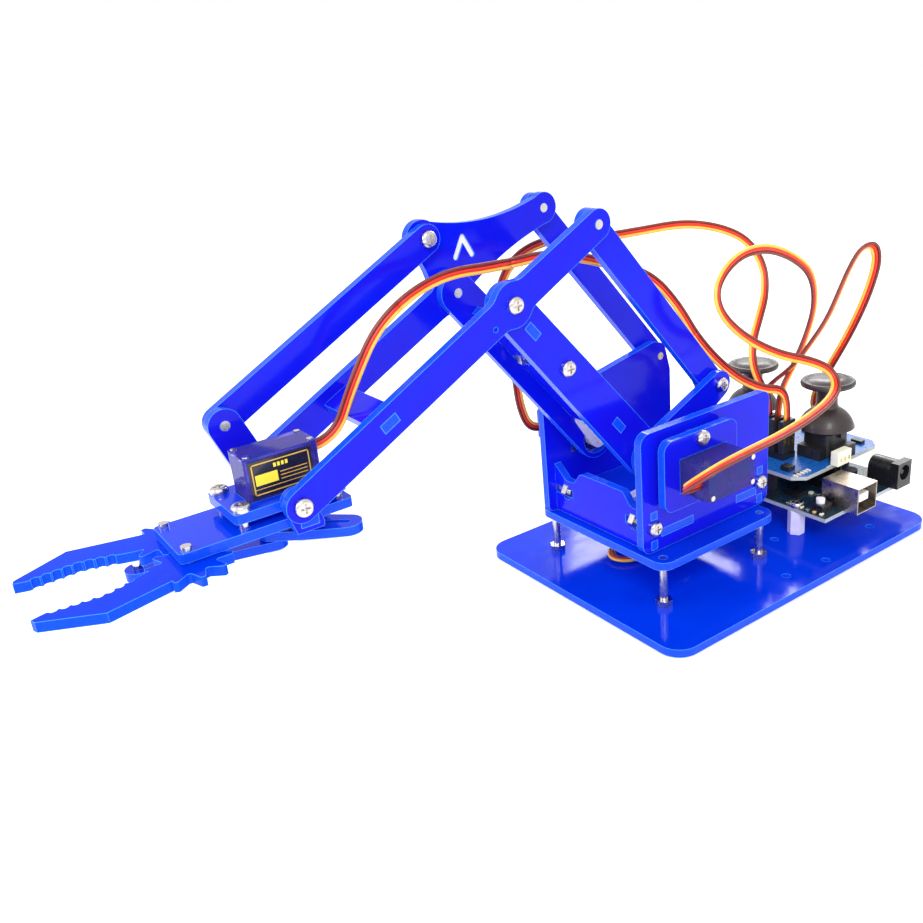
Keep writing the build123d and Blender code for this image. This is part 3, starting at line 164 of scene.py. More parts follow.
# ---------------------------------------------------------------- materials
class Look:
    """A node material under construction."""

    def __init__(self, name, color, roughness, metallic=0.0, coat=0.0, specular=0.5):
        self.material = bpy.data.materials.new(name)
        self.material.use_nodes = True
        self.nodes = self.material.node_tree.nodes
        self.links = self.material.node_tree.links
        self.shader = self.nodes["Principled BSDF"]
        self.shader.inputs["Base Color"].default_value = (*color, 1)
        self.shader.inputs["Roughness"].default_value = roughness
        self.shader.inputs["Metallic"].default_value = metallic
        self.shader.inputs["Coat Weight"].default_value = coat
        self.shader.inputs["Coat Roughness"].default_value = 0.04
        self.shader.inputs["Specular IOR Level"].default_value = specular
        self.place = self.nodes.new("ShaderNodeTexCoord")

    def noise(self, scale, detail=3.0):
        """Noise over the object's own coordinates, in features per metre."""
        node = self.nodes.new("ShaderNodeTexNoise")
        node.inputs["Scale"].default_value = scale
        node.inputs["Detail"].default_value = detail
        self.links.new(self.place.outputs["Object"], node.inputs["Vector"])
        return node.outputs["Fac"]

    def spread(self, value, low, high, from_low=0.3, from_high=0.7):
        """A value's range from_low to from_high, stretched to low to high and held beyond them."""
        node = self.nodes.new("ShaderNodeMapRange")
        self.links.new(value, node.inputs["Value"])
        node.inputs["From Min"].default_value = from_low
        node.inputs["From Max"].default_value = from_high
        node.inputs["To Min"].default_value = low
        node.inputs["To Max"].default_value = high
        return node.outputs["Result"]

    def mix(self, factor, first, second):
        """The first colour where the factor is 0 and the second where it is 1."""
        node = self.nodes.new("ShaderNodeMix")
        node.data_type = "RGBA"
        self.links.new(factor, node.inputs["Factor"])
        for key, color in (("A", first), ("B", second)):
            socket = [s for s in node.inputs if s.name == key and s.type == "RGBA"][0]
            if isinstance(color, tuple):
                socket.default_value = (*color, 1)
            else:
                self.links.new(color, socket)
        return [s for s in node.outputs if s.type == "RGBA"][0]

    def math(self, operation, first, second=0.0):
        """One arithmetic step on two values, each a socket or a number."""
        node = self.nodes.new("ShaderNodeMath")
        node.operation = operation
        for socket, value in zip(node.inputs, (first, second)):
            if isinstance(value, float):
                socket.default_value = value
            else:
                self.links.new(value, socket)
        return node.outputs["Value"]

    def axis(self, name):
        """One of the object's own coordinates, in metres."""
        node = self.nodes.new("ShaderNodeSeparateXYZ")
        self.links.new(self.place.outputs["Object"], node.inputs["Vector"])
        return node.outputs[name]

    def within(self, name, low, high):
        """1 where the object's own coordinate lies between two places in millimetres."""
        value = self.axis(name)
        above = self.math("GREATER_THAN", value, low * MM)
        below = self.math("LESS_THAN", value, high * MM)
        return self.math("MULTIPLY", above, below)

    def inside(self, *ranges):
        """1 inside a box given as (axis, low, high) ranges in millimetres."""
        value = self.within(*ranges[0])
        for other in ranges[1:]:
            value = self.math("MULTIPLY", value, self.within(*other))
        return value

    def ring(self, x, z, radius):
        """1 on a thin ring in the object's own X and Z, in millimetres."""
        across = self.math("POWER", self.math("SUBTRACT", self.axis("X"), x * MM), 2.0)
        up = self.math("POWER", self.math("SUBTRACT", self.axis("Z"), z * MM), 2.0)
        away = self.math("SQRT", self.math("ADD", across, up))
        off = self.math("ABSOLUTE", self.math("SUBTRACT", away, radius * MM))
        return self.math("LESS_THAN", off, WIRE_LOOP_HALF * MM)

    def dot(self, first, second):
        """Dot product of two vectors, each a socket or numbers."""
        node = self.nodes.new("ShaderNodeVectorMath")
        node.operation = "DOT_PRODUCT"
        for socket, value in zip(node.inputs, (first, second)):
            if isinstance(value, tuple):
                socket.default_value = value
            else:
                self.links.new(value, socket)
        return node.outputs["Value"]

    def facing(self, direction):
        """1 where the surface is square to a direction of the object, 0 where it runs along it."""
        return self.math("ABSOLUTE", self.dot(self.place.outputs["Normal"], direction))

    def arris_highlight(self):
        """Mask of the painted highlight: 1 along the sheet's corners, where its rounded normal leaves the
        true one.
        """
        rounded = self.nodes.new("ShaderNodeBevel")
        rounded.samples = 6
        rounded.inputs["Radius"].default_value = ARRIS_RADIUS * MM
        true = self.nodes.new("ShaderNodeNewGeometry")
        turned = self.dot(rounded.outputs["Normal"], true.outputs["True Normal"])
        return self.spread(turned, 1.0, 0.0, *ARRIS_TURN)

    def bump(self, height, strength, distance):
        node = self.nodes.new("ShaderNodeBump")
        node.inputs["Strength"].default_value = strength
        node.inputs["Distance"].default_value = distance
        self.links.new(height, node.inputs["Height"])
        self.links.new(node.outputs["Normal"], self.shader.inputs["Normal"])

    def to(self, socket, value):
        self.links.new(value, self.shader.inputs[socket])


UPRIGHT_TONES = ((0.002, 0.010, 0.60), (0.008, 0.004, 0.48))
# Level sheets: the same blue made lighter and greener, painted light for how the light falls on them.
LEVEL_PAINTED_LIGHT_TONES = ((0.0, 0.036, 0.56), (0.0, 0.026, 0.46))
ACRYLIC_EDGE = (0.006, 0.060, 0.60)
# Painted highlight: light cyan-blue colour laid along the sheet's arrises.
ACRYLIC_ARRIS_HIGHLIGHT = (0.070, 0.36, 0.86)
# Emission colours: painted glow on the acrylic's faces and, stronger, on its cut edges.
FACE_PAINTED_GLOW = (0.0, 0.002, 0.42)
EDGE_PAINTED_GLOW = (0.002, 0.030, 0.46)
ARRIS_RADIUS = 0.4
ARRIS_TURN = (0.82, 0.99)        # dot products between which the painted highlight line fades out
CUT_FACING = (0.55, 0.85)        # how square to the sheet a surface is: cut side, then face
PAINT_WHITE = (0.86, 0.87, 0.90)
NO_LIGHT = (0.0, 0.0, 0.0)
STEEL_COLOR = (0.70, 0.66, 0.63)


def acrylic(
    name, normal, tones=UPRIGHT_TONES, plate=None, hardware=STEEL_COLOR, metal=1.0, mark=None, gloss=0.16,
):
    """Polished blue acrylic: saturated glossy faces and greener laser-cut edges, with a painted highlight
    along the arrises and a painted glow (emission) on faces and edges for the light the sheet pipes.

    plate is the sheet's own axis and its two faces in millimetres, for a node that holds other
    hardware as well; what lies outside them is steel or white nylon. mark is the box that holds an
    engraving's floor, which is painted white.
    """
    look = Look(name, tones[0], 0.09, specular=gloss)
    square = look.facing(normal)
    edge = look.spread(square, 1.0, 0.0, *CUT_FACING)
    face = look.mix(look.spread(look.noise(38.0, 4.0), 0.0, 1.0), *tones)
    cut = look.mix(look.spread(look.noise(900.0, 2.0), 0.0, 0.35), ACRYLIC_EDGE, tones[0])
    # painted highlight along every arris, over the face and cut colours
    color = look.mix(look.arris_highlight(), look.mix(edge, face, cut), ACRYLIC_ARRIS_HIGHLIGHT)
    # painted glow: the sheet emits light on its faces and more on its cut edges, though it is no lamp
    painted_glow = look.mix(edge, FACE_PAINTED_GLOW, EDGE_PAINTED_GLOW)
    if plate:
        sheet = look.within(*plate)
        color = look.mix(sheet, hardware, color)
        painted_glow = look.mix(sheet, NO_LIGHT, painted_glow)
        look.to("Metallic", look.math("MULTIPLY", look.math("SUBTRACT", 1.0, sheet), metal))
    if mark:
        painted = look.math("MULTIPLY", look.inside(*mark), look.math("GREATER_THAN", square, 0.5))
        color = look.mix(painted, color, PAINT_WHITE)
        painted_glow = look.mix(painted, painted_glow, NO_LIGHT)
    look.to("Base Color", color)
    look.to("Roughness", look.spread(look.noise(220.0, 5.0), 0.07, 0.16))
    look.to("Emission Color", painted_glow)
    look.shader.inputs["Emission Strength"].default_value = 0.35
    look.bump(look.noise(260.0, 3.0), 0.04, 0.0002)
    return look.material


def steel(name, color=STEEL_COLOR, roughness=0.22):
    look = Look(name, color, roughness, metallic=1.0)
    look.to("Roughness", look.spread(look.noise(500.0, 3.0), roughness - 0.05, roughness + 0.08))
    dull = tuple(c * 0.86 for c in color)
    look.to("Base Color", look.mix(look.spread(look.noise(300.0), 0.0, 1.0), color, dull))
    return look.material


def steel_and_nylon(name, *horn):
    """Plated screws, and the white nylon servo horn that lies in the box of ranges given."""
    look = Look(name, STEEL_COLOR, 0.3)
    white = look.inside(*horn)
    metal = look.mix(look.spread(look.noise(300.0), 0.0, 1.0), STEEL_COLOR, (0.60, 0.57, 0.54))
    look.to("Base Color", look.mix(white, metal, (0.78, 0.78, 0.80)))
    look.to("Metallic", look.math("SUBTRACT", 1.0, white))
    look.to("Roughness", look.spread(look.noise(500.0, 3.0), 0.2, 0.34))
    return look.material


def moulded(name, color, roughness, grain=1600.0, depth=0.15, coat=0.0):
    """Moulded plastic with a fine grain and slight change in tone."""
    look = Look(name, color, roughness, coat=coat)
    tone = look.spread(look.noise(120.0, 4.0), 0.0, 1.0)
    lighter = tuple(min(1.0, c * 1.35 + 0.004) for c in color)
    look.to("Base Color", look.mix(tone, color, lighter))
    look.to("Roughness", look.spread(look.noise(500.0, 3.0), roughness - 0.06, roughness + 0.1))
    look.bump(look.noise(grain, 3.0), depth, 0.0002)
    return look.material


def tinted_case(name):
    """Translucent violet-blue servo case."""
    look = Look(name, (0.10, 0.10, 0.50), 0.06, specular=0.14)
    look.shader.inputs["Transmission Weight"].default_value = 0.8
    look.shader.inputs["IOR"].default_value = 1.2
    tone = look.spread(look.noise(160.0, 3.0), 0.0, 1.0)
    look.to("Base Color", look.mix(tone, (0.10, 0.13, 0.58), (0.17, 0.10, 0.60)))
    look.to("Roughness", look.spread(look.noise(400.0, 3.0), 0.05, 0.12))
    look.bump(look.noise(700.0, 2.0), 0.03, 0.0002)
    return look.material


WIRE_LOOPS = ((1.6, 51.4, 3.6), (8.6, 50.2, 3.1))    # X, Z and radius at the back of a turret servo
WIRE_LOOP_HALF = 0.28


def servo_inside(name):
    """Steel motor and brass gears, with a green circuit board and magenta wire loops at the back."""
    look = Look(name, (0.5, 0.5, 0.5), 0.35, metallic=0.6)
    deep = look.math("GREATER_THAN", look.math("ABSOLUTE", look.axis("Y")), SERVO_BOARD_Y * MM)
    metal = look.mix(look.spread(look.noise(300.0), 0.0, 1.0), (0.62, 0.62, 0.65), (0.40, 0.36, 0.34))
    color = look.mix(deep, metal, (0.03, 0.60, 0.24))
    for x, z, radius in WIRE_LOOPS:
        color = look.mix(look.math("MULTIPLY", deep, look.ring(x, z, radius)), color, (1.0, 0.05, 0.35))
    look.to("Base Color", color)
    look.to("Roughness", look.spread(look.noise(600.0), 0.25, 0.45))
    return look.material


def sockets(name):
    """Tin-plated shell with a pale tongue, and the black power jack beside it."""
    look = Look(name, (0.70, 0.66, 0.58), 0.3)
    shell = look.mix(look.spread(look.noise(240.0), 0.0, 1.0), (0.56, 0.50, 0.44), (0.40, 0.34, 0.29))
    inside = look.math("MULTIPLY", look.within("X", -71.9, -60.9), look.within("Z", 15.1, 25.0))
    usb = look.mix(inside, shell, (0.86, 0.85, 0.82))
    jack = look.math("LESS_THAN", look.axis("X"), -85.0 * MM)
    look.to("Base Color", look.mix(jack, usb, (0.010, 0.010, 0.012)))
    plastic = look.math("MAXIMUM", jack, inside)
    look.to("Metallic", look.math("SUBTRACT", 1.0, plastic))
    look.to("Roughness", look.spread(look.noise(600.0), 0.24, 0.38))
    return look.material


LAMINATE = (0.42, 0.46, 0.46)
TRACKS_PER_METRE = 260.0


def circuit(name, color, trace):
    """Solder mask with faint tracks under it, and the board's pale cut edge."""
    look = Look(name, color, 0.3, coat=0.35)
    bricks = look.nodes.new("ShaderNodeTexBrick")
    bricks.inputs["Scale"].default_value = TRACKS_PER_METRE
    bricks.inputs["Mortar Size"].default_value = 0.06
    bricks.inputs["Color1"].default_value = (*color, 1)
    bricks.inputs["Color2"].default_value = (*[c * 0.8 for c in color], 1)
    bricks.inputs["Mortar"].default_value = (*trace, 1)
    look.links.new(look.place.outputs["Object"], bricks.inputs["Vector"])
    edge = look.math("LESS_THAN", look.facing((0, 0, 1)), 0.5)
    look.to("Base Color", look.mix(edge, bricks.outputs["Color"], LAMINATE))
    look.to("Roughness", look.spread(look.noise(400.0), 0.22, 0.4))
    look.bump(bricks.outputs["Fac"], 0.15, 0.0001)
    return look.material


SERVO_BOARD_Y = 41.2
ARM_ANGLE = math.radians(50)
FORE_ANGLE = math.radians(-28)
upright_acrylic = acrylic("acrylic_upright", (0, 1, 0))
triangle_acrylic = acrylic(
    "acrylic_triangle", (0, 1, 0), mark=(("X", 55.8, 65.4), ("Y", -25.7, -25.3), ("Z", 127.4, 136.4))
)
level_acrylic = acrylic("acrylic_level", (0, 0, 1), LEVEL_PAINTED_LIGHT_TONES)
cross_acrylic = acrylic("acrylic_cross", (1, 0, 0))
arm_web_acrylic = acrylic("acrylic_arm_web", (-math.sin(ARM_ANGLE), 0, math.cos(ARM_ANGLE)))
fore_web_acrylic = acrylic("acrylic_fore_web", (-math.sin(FORE_ANGLE), 0, math.cos(FORE_ANGLE)))
jaw_acrylic = acrylic("acrylic_jaw", (0, 0, 1), LEVEL_PAINTED_LIGHT_TONES, ("Z", 65.6, 68.8), gloss=0.05)
lever_acrylic = acrylic(
    "acrylic_lever", (0, 0, 1), LEVEL_PAINTED_LIGHT_TONES, ("Z", 60.4, 63.6), hardware=(0.85, 0.85, 0.84), metal=0.0,
)
plated_steel = steel("plated_steel")
elbow_horn_parts = steel_and_nylon("elbow_horn_parts", ("Y", 12.4, 40.0))
arm_hardware = steel_and_nylon("arm_hardware", ("X", -5.0, 30.0), ("Y", -30.0, -13.0), ("Z", 33.0, 70.0))
turret_hardware = steel_and_nylon(
    "turret_hardware", ("X", -14.0, 14.0), ("Y", -14.0, 14.0), ("Z", 15.0, 45.0),
)
socket_shells = sockets("socket_shells")
gold = steel("gold_plate", (0.95, 0.66, 0.20), 0.25)
servo_tint = tinted_case("servo_tint")
servo_works = servo_inside("servo_works")
black_plastic = moulded("black_plastic", (0.012, 0.012, 0.013), 0.42)
socket_black = moulded("socket_black", (0.008, 0.008, 0.009), 0.3, coat=0.2)
stick_rubber = moulded("stick_rubber", (0.022, 0.013, 0.013), 0.42, grain=2600.0, depth=0.25, coat=0.15)
white_nylon = moulded("white_nylon", (0.80, 0.80, 0.82), 0.45)
lilac_nylon = moulded("lilac_nylon", (0.72, 0.68, 0.92), 0.4)
label_black = moulded("label_black", (0.006, 0.006, 0.008), 0.3, coat=0.5)
label_gold = moulded("label_gold", (0.60, 0.36, 0.05), 0.35)
label_yellow = moulded("label_yellow", (0.85, 0.62, 0.03), 0.4)
cream_plastic = moulded("cream_plastic", (0.82, 0.76, 0.60), 0.4)
wire_brown = moulded("wire_brown", (0.15, 0.022, 0.012), 0.38, grain=900.0, depth=0.1)
wire_red = moulded("wire_red", (0.70, 0.022, 0.008), 0.35, grain=900.0, depth=0.1)
wire_orange = moulded("wire_orange", (0.95, 0.42, 0.05), 0.35, grain=900.0, depth=0.1)
board_blue = circuit("board_blue", (0.004, 0.10, 0.44), (0.006, 0.13, 0.52))
board_dark = circuit("board_dark", (0.003, 0.010, 0.024), (0.012, 0.045, 0.075))


def dress_frame():
    """Gives every CAD node that stays in view its material."""
    looks = {
        upright_acrylic: (
            "near_panel", "far_panel", "servo_collars", "lower_arm_near", "lower_arm_far", "elbow_lever",
            "elbow_rod", "forearm_near", "forearm_far", "lower_level_rod", "upper_level_rod",
            "hand_brackets",
        ),
        triangle_acrylic: ("triangle_plate",),
        level_acrylic: (
            "base_plate", "deck_plate", "turret_floor", "base_servo_collar", "hand_plates",
            "gripper_link",
        ),
        jaw_acrylic: ("near_jaw", "far_jaw"),
        lever_acrylic: ("gripper_lever",),
        cross_acrylic: ("cross_panels",),
        arm_web_acrylic: ("lower_arm_web",),
        fore_web_acrylic: ("forearm_webs",),
        plated_steel: (
            "base_fasteners", "hand_fasteners", "rod_tail_screw", "lever_pin", "triangle_front_screw",
            "level_rod_screws",
        ),
        servo_tint: ("base_servo_case", "elbow_servo_case", "shoulder_servo_case", "gripper_servo_case"),
        servo_works: ("base_servo_works", "turret_servo_works", "gripper_servo_works"),
        turret_hardware: ("turret_fasteners",),
        arm_hardware: ("lower_arm_fasteners",),
        elbow_horn_parts: ("elbow_horn",),
        white_nylon: ("reset_button",),
        lilac_nylon: ("board_spacers",),
        board_dark: ("controller_board",),
        board_blue: ("shield_board",),
        socket_black: ("controller_parts", "shield_parts"),
        socket_shells: ("board_sockets",),
        black_plastic: (
            "joystick_frames", "near_stick_yoke", "far_stick_yoke", "near_stick_shaft", "far_stick_shaft",
        ),
    }
    for material, nodes in looks.items():
        for node in nodes:
            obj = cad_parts[node]
            if not obj.material_slots:
                obj.data.materials.append(material)
            for slot in obj.material_slots:
                slot.material = material


# ---------------------------------------------------------------- ribbon leads
LEADS = {
    "gripper": [
        (133.8, -6.2, 86.5), (125.3, -6.2, 86.5), (117.5, -6.0, 101.5), (105.0, -6.2, 119.0),
        (84.0, -5.6, 128.5), (60.0, -6.2, 127.0), (37.0, -6.0, 127.5), (14.0, -6.2, 120.0),
        (-5.5, -5.0, 112.5), (-17.0, -3.0, 99.5), (-24.0, 1.0, 84.5), (-36.0, 6.5, 69.5),
        (-50.0, 10.0, 60.5), (-60.0, 11.5, 58.5), (-64.0, 11.5, 51.5), (-64.0, 11.5, 44.2),
    ],
    "elbow": [
        (17.95, 41.0, 51.0), (24.5, 41.0, 51.3), (29.5, 43.5, 53.5), (29.5, 49.5, 58.5),
        (22.0, 53.0, 62.5), (10.0, 54.5, 64.5), (-4.0, 55.0, 65.5), (-22.0, 53.0, 66.5),
        (-39.0, 49.0, 67.5), (-49.0, 44.5, 69.5), (-50.0, 40.5, 74.5), (-42.5, 37.0, 79.0),
        (-31.0, 33.0, 83.0), (-19.0, 28.5, 90.5), (-10.0, 25.0, 100.0), (-8.5, 23.0, 108.5),
        (-15.5, 21.0, 115.0), (-27.5, 19.0, 118.8), (-42.0, 18.0, 118.0), (-59.0, 16.0, 111.5),
        (-72.0, 14.5, 103.0), (-78.0, 12.5, 90.0), (-76.0, 10.5, 77.0), (-70.5, 8.5, 64.5),
        (-64.0, 7.0, 54.0), (-64.0, 7.0, 44.2),
    ],
    "shoulder": [
        (17.95, -44.5, 51.0), (24.0, -44.5, 51.0), (27.5, -46.0, 61.0), (27.0, -48.0, 76.0),
        (30.0, -47.5, 92.0), (33.5, -46.5, 106.0), (29.0, -46.0, 116.5), (19.0, -45.0, 123.0),
        (3.0, -43.5, 124.5), (-15.0, -41.0, 121.5), (-34.0, -38.0, 121.5), (-52.0, -33.0, 122.0),
        (-66.5, -27.0, 118.5), (-76.0, -20.5, 112.5), (-79.5, -14.5, 102.0), (-76.0, -10.5, 91.0),
        (-68.0, -7.0, 83.0), (-60.5, -4.0, 75.0), (-57.5, -1.0, 66.0), (-60.5, 1.5, 57.0),
        (-64.0, 2.5, 51.0), (-64.0, 2.5, 44.2),
    ],
    "base": [
        (5.95, 0.0, 4.4), (12.5, 0.0, 4.4), (17.5, -6.0, 4.6), (12.0, -12.5, 4.8),
        (-1.0, -13.5, 5.0), (-20.0, -11.0, 6.0), (-40.0, -6.0, 7.0), (-60.0, -2.5, 6.5),
        (-80.0, -1.0, 6.8), (-95.0, -1.5, 6.6), (-106.0, -2.0, 11.0), (-109.0, -2.0, 22.0),
        (-103.0, -2.0, 32.0), (-96.0, 0.0, 41.0), (-94.5, 5.0, 52.0), (-93.5, 12.0, 64.0),
        (-92.0, 19.0, 76.0), (-90.5, 25.0, 88.0), (-88.5, 29.5, 98.0), (-87.5, 32.0, 107.0),
        (-84.0, 32.5, 113.5), (-78.5, 31.0, 113.0), (-76.0, 28.5, 106.5), (-74.0, 26.0, 97.5),
        (-72.0, 22.5, 86.0), (-69.5, 16.5, 75.0), (-67.5, 11.0, 66.0), (-64.8, 2.0, 57.5),
        (-64.0, -2.0, 51.0), (-64.0, -2.0, 44.2),
    ],
}
SERVO_WIDTH = 12.2
EAR_LENGTH = 4.7         # how far each mounting ear stands out from the case
WIRE_RADIUS = 0.62
WIRE_PITCH = 1.2
WIRE_SIDES = 10
PIN_PITCH = 2.54
PLUG_HALF = (3.8, 1.25)
PLUG_HEIGHT = 14.0


def spline_points(route):
    """The points of a smooth NURBS line through the route's neighbourhood, in metres."""
    curve = bpy.data.curves.new("route", "CURVE")
    curve.dimensions = "3D"
    spline = curve.splines.new("NURBS")
    spline.points.add(len(route) - 1)
    for point, place in zip(spline.points, route):
        point.co = (*mm(place), 1)
    spline.order_u = 3
    spline.use_endpoint_u = True
    curve.resolution_u = 8
    obj = link(bpy.data.objects.new("route", curve))
    bpy.context.view_layer.update()
    mesh = bpy.data.meshes.new_from_object(obj)
    points = [v.co.copy() for v in mesh.vertices]
    bpy.data.objects.remove(obj)
    bpy.data.meshes.remove(mesh)
    return points


def side_vectors(points, start_side, end_side):
    """Side directions along a line with even twist, from start_side to end_side."""
    tangents = []
    for index in range(len(points)):
        before, after = points[max(index - 1, 0)], points[min(index + 1, len(points) - 1)]
        tangents.append((after - before).normalized())
    side = (start_side - tangents[0] * start_side.dot(tangents[0])).normalized()
    sides = [side]
    for before, after in zip(tangents, tangents[1:]):
        side = before.rotation_difference(after) @ side
        sides.append((side - after * side.dot(after)).normalized())
    last = tangents[-1]
    goal = (end_side - last * end_side.dot(last)).normalized()
    twist = math.atan2(sides[-1].cross(goal).dot(last), sides[-1].dot(goal))
    if twist > math.pi / 2:
        twist -= math.pi
    if twist < -math.pi / 2:
        twist += math.pi
    count = len(points) - 1
    turned = [Quaternion(t, twist * i / count) @ s for i, (t, s) in enumerate(zip(tangents, sides))]
    return tangents, turned


def ribbon(name, points, tangents, sides):
    """Three round wires side by side."""
    bm = bmesh.new()
    for wire in range(3):
        rings = []
        for point, tangent, side in zip(points, tangents, sides):
            normal = tangent.cross(side)
            centre = point + side * (wire - 1) * WIRE_PITCH * MM
            ring = []
            for index in range(WIRE_SIDES):
                angle = 2 * math.pi * index / WIRE_SIDES
                offset = side * math.cos(angle) + normal * math.sin(angle)
                ring.append(bm.verts.new(centre + offset * WIRE_RADIUS * MM))
            rings.append(ring)
        for lower, upper in zip(rings, rings[1:]):
            for index in range(WIRE_SIDES):
                after = (index + 1) % WIRE_SIDES
                face = bm.faces.new((lower[index], lower[after], upper[after], upper[index]))
                face.material_index = wire
                face.smooth = True
        for ring in (rings[0], rings[-1]):
            bm.faces.new(ring).material_index = wire
    return mesh_piece(name, bm, [wire_brown, wire_red, wire_orange])


def plug(name, top):
    """Three-way housing with latch windows, hanging below the end of its lead."""
    x, y, z = top
    bm = bmesh.new()
    half_x, half_y = PLUG_HALF
    add_box(bm, (x - half_x, y - half_y, z - PLUG_HEIGHT), (x + half_x, y + half_y, z), 0, 0.25)
    for wire in (-1, 0, 1):
        middle = x + wire * PIN_PITCH
        for face in (-1, 1):
            low, high = sorted((y + face * 1.1, y + face * 1.3))
            add_box(bm, (middle - 0.55, low, z - 10.5), (middle + 0.55, high, z - 7.5), 1)
            add_box(bm, (middle - 0.8, low, z - 5.2), (middle + 0.8, high, z - 2.0), 0, 0.06)
    piece = mesh_piece(name, bm, [black_plastic, gold])
    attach(piece, "base")
    return piece


def whole_lead(name, start_side, bodies):
    """A lead between the turret, or the base, and the shield's pins."""
    route = LEADS[name]
    points = spline_points(route)
    tangents, sides = side_vectors(points, Vector(start_side), Vector((1, 0, 0)))
    piece = ribbon(f"{name}_ribbon", points, tangents, sides)
    if len(bodies) == 2:
        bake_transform(piece)
    else:
        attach(piece, bodies[0])
    end = plug(f"{name}_plug", route[-1])
    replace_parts(piece, f"{name}_lead")
    return end


GRIPPER_SPANS = (
    ("hand", "forearm", 0, 3), ("forearm", "triangle", 3, 5), ("triangle", "lower_arm", 5, 7),
    ("lower_arm", "turret", 7, 10), ("turret", "base", 10, 15),
)


def gripper_leads():
    """The gripper's lead, split where it passes from one moving body to the next."""
    route = LEADS["gripper"]
    points = spline_points(route)
    tangents, sides = side_vectors(points, Vector((0, 0, -1)), Vector((1, 0, 0)))
    end = plug("gripper_plug", route[-1])
    per_point = (len(points) - 1) / (len(route) - 1)
    for number, (first, second, low, high) in enumerate(GRIPPER_SPANS):
        start, stop = round(low * per_point), round(high * per_point) + 1
        part = points[start:stop]
        piece = ribbon(f"gripper_ribbon_{number + 1}", part, tangents[start:stop], sides[start:stop])
        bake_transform(piece)
        if number == 0:
            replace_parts(piece, "gripper_lead")
    return end


# ---------------------------------------------------------------- thumb sticks
STICK_PIVOT_Z = 36.5
STICK_PLACES = {"near": (-80.0, 18.5), "far": (-80.0, -19.5)}


DOME_RADIUS = 11.5
DOME_INSIDE = 10.25


def arc_points(radius, start, step, count):
    """Points of an arc about the pivot, as (radius, height), by angles in degrees."""
    angles = [math.radians(start + step * index) for index in range(count)]
    return [(radius * math.cos(angle), radius * math.sin(angle)) for angle in angles]


def cap_profile():
    """Dome, neck and dished mushroom top, as (radius, height) above the pivot."""
    outer = arc_points(DOME_RADIUS, 13, 6, 10)
    neck = [(4.6, 11.2), (4.15, 12.4), (4.1, 15.0), (4.2, 18.2), (4.8, 19.4)]
    brim = [
        (7.5, 19.75), (9.7, 19.9), (10.5, 20.3), (10.75, 21.0), (10.6, 21.8), (10.1, 22.3), (9.4, 22.35),
    ]
    top = [(8.8, 22.05), (8.2, 22.25), (7.2, 22.9), (5.0, 23.3), (2.5, 23.45), (0, 23.5)]
    inner = arc_points(DOME_INSIDE, 84, -10, 8)
    return [(0, 10.2), *inner, (10.1, 2.6), (11.15, 2.6), *outer, *neck, *brim, *top]


def thumb_caps():
    for side, (x, y) in STICK_PLACES.items():
        bm = lathe(cap_profile(), 72)
        bmesh.ops.translate(bm, verts=bm.verts, vec=mm((x, y, STICK_PIVOT_Z)))
        cap = smooth(mesh_piece(f"{side}_thumb_cap", bm, [stick_rubber]))
        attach(cap, f"{side}_cap")
        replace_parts(cap, f"{side}_stick_cap")


# ---------------------------------------------------------------- labels and small parts
LABEL_THICK = 0.12
PRINT_THICK = 0.05
FRAME_INSET = 0.8
FRAME_LINE = 0.35


def servo_label(name, body, low, high):
    """Black label with a thin gold frame, plain bars and a yellow block, facing +Y."""
    x0, y, z0 = low
    x1, _, z1 = high
    left, right = x0 + FRAME_INSET, x1 - FRAME_INSET
    bottom, top = z0 + FRAME_INSET, z1 - FRAME_INSET
    printed = y + LABEL_THICK
    bm = bmesh.new()

    def bar(x_low, x_high, z_low, z_high, slot=1, thick=PRINT_THICK):
        add_box(bm, (x_low, printed, z_low), (x_high, printed + thick, z_high), slot)

    add_box(bm, (x0, y, z0), (x1, printed, z1), 0, 0.04)
    bar(left, right, bottom, bottom + FRAME_LINE)
    bar(left, right, top - FRAME_LINE, top)
    bar(left, left + FRAME_LINE, bottom, top)
    bar(right - FRAME_LINE, right, bottom, top)
    for index in range(4):
        start = (x0 + x1) / 2 - 2.2 + 1.2 * index
        bar(start, start + 0.8, z1 - 3.1, z1 - 1.9, 2)
    bar(x1 - 8.4, x1 - 1.6, z0 + 3.6, z0 + 6.8, 2, 0.06)
    bar(left + FRAME_LINE, right - FRAME_LINE, z0 + 2.4, z0 + 2.6)
    for index in range(3):
        z = z0 + 3.7 + 1.1 * index
        bar(x0 + 1.8, x1 - 9.2, z, z + 0.25)
    piece = mesh_piece(name, bm, [label_black, label_gold, label_yellow])
    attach(piece, body)


CASE_SCREW = (0.95, 0.7)     # radius and height
CASE_SCREW_INSET = 1.5
SERVO_BACKS = {
    "elbow": ("turret", "Y", 1),
    "shoulder": ("turret", "Y", -1),
    "gripper": ("hand", "Z", 1),
    "base": ("base", "Z", -1),
}


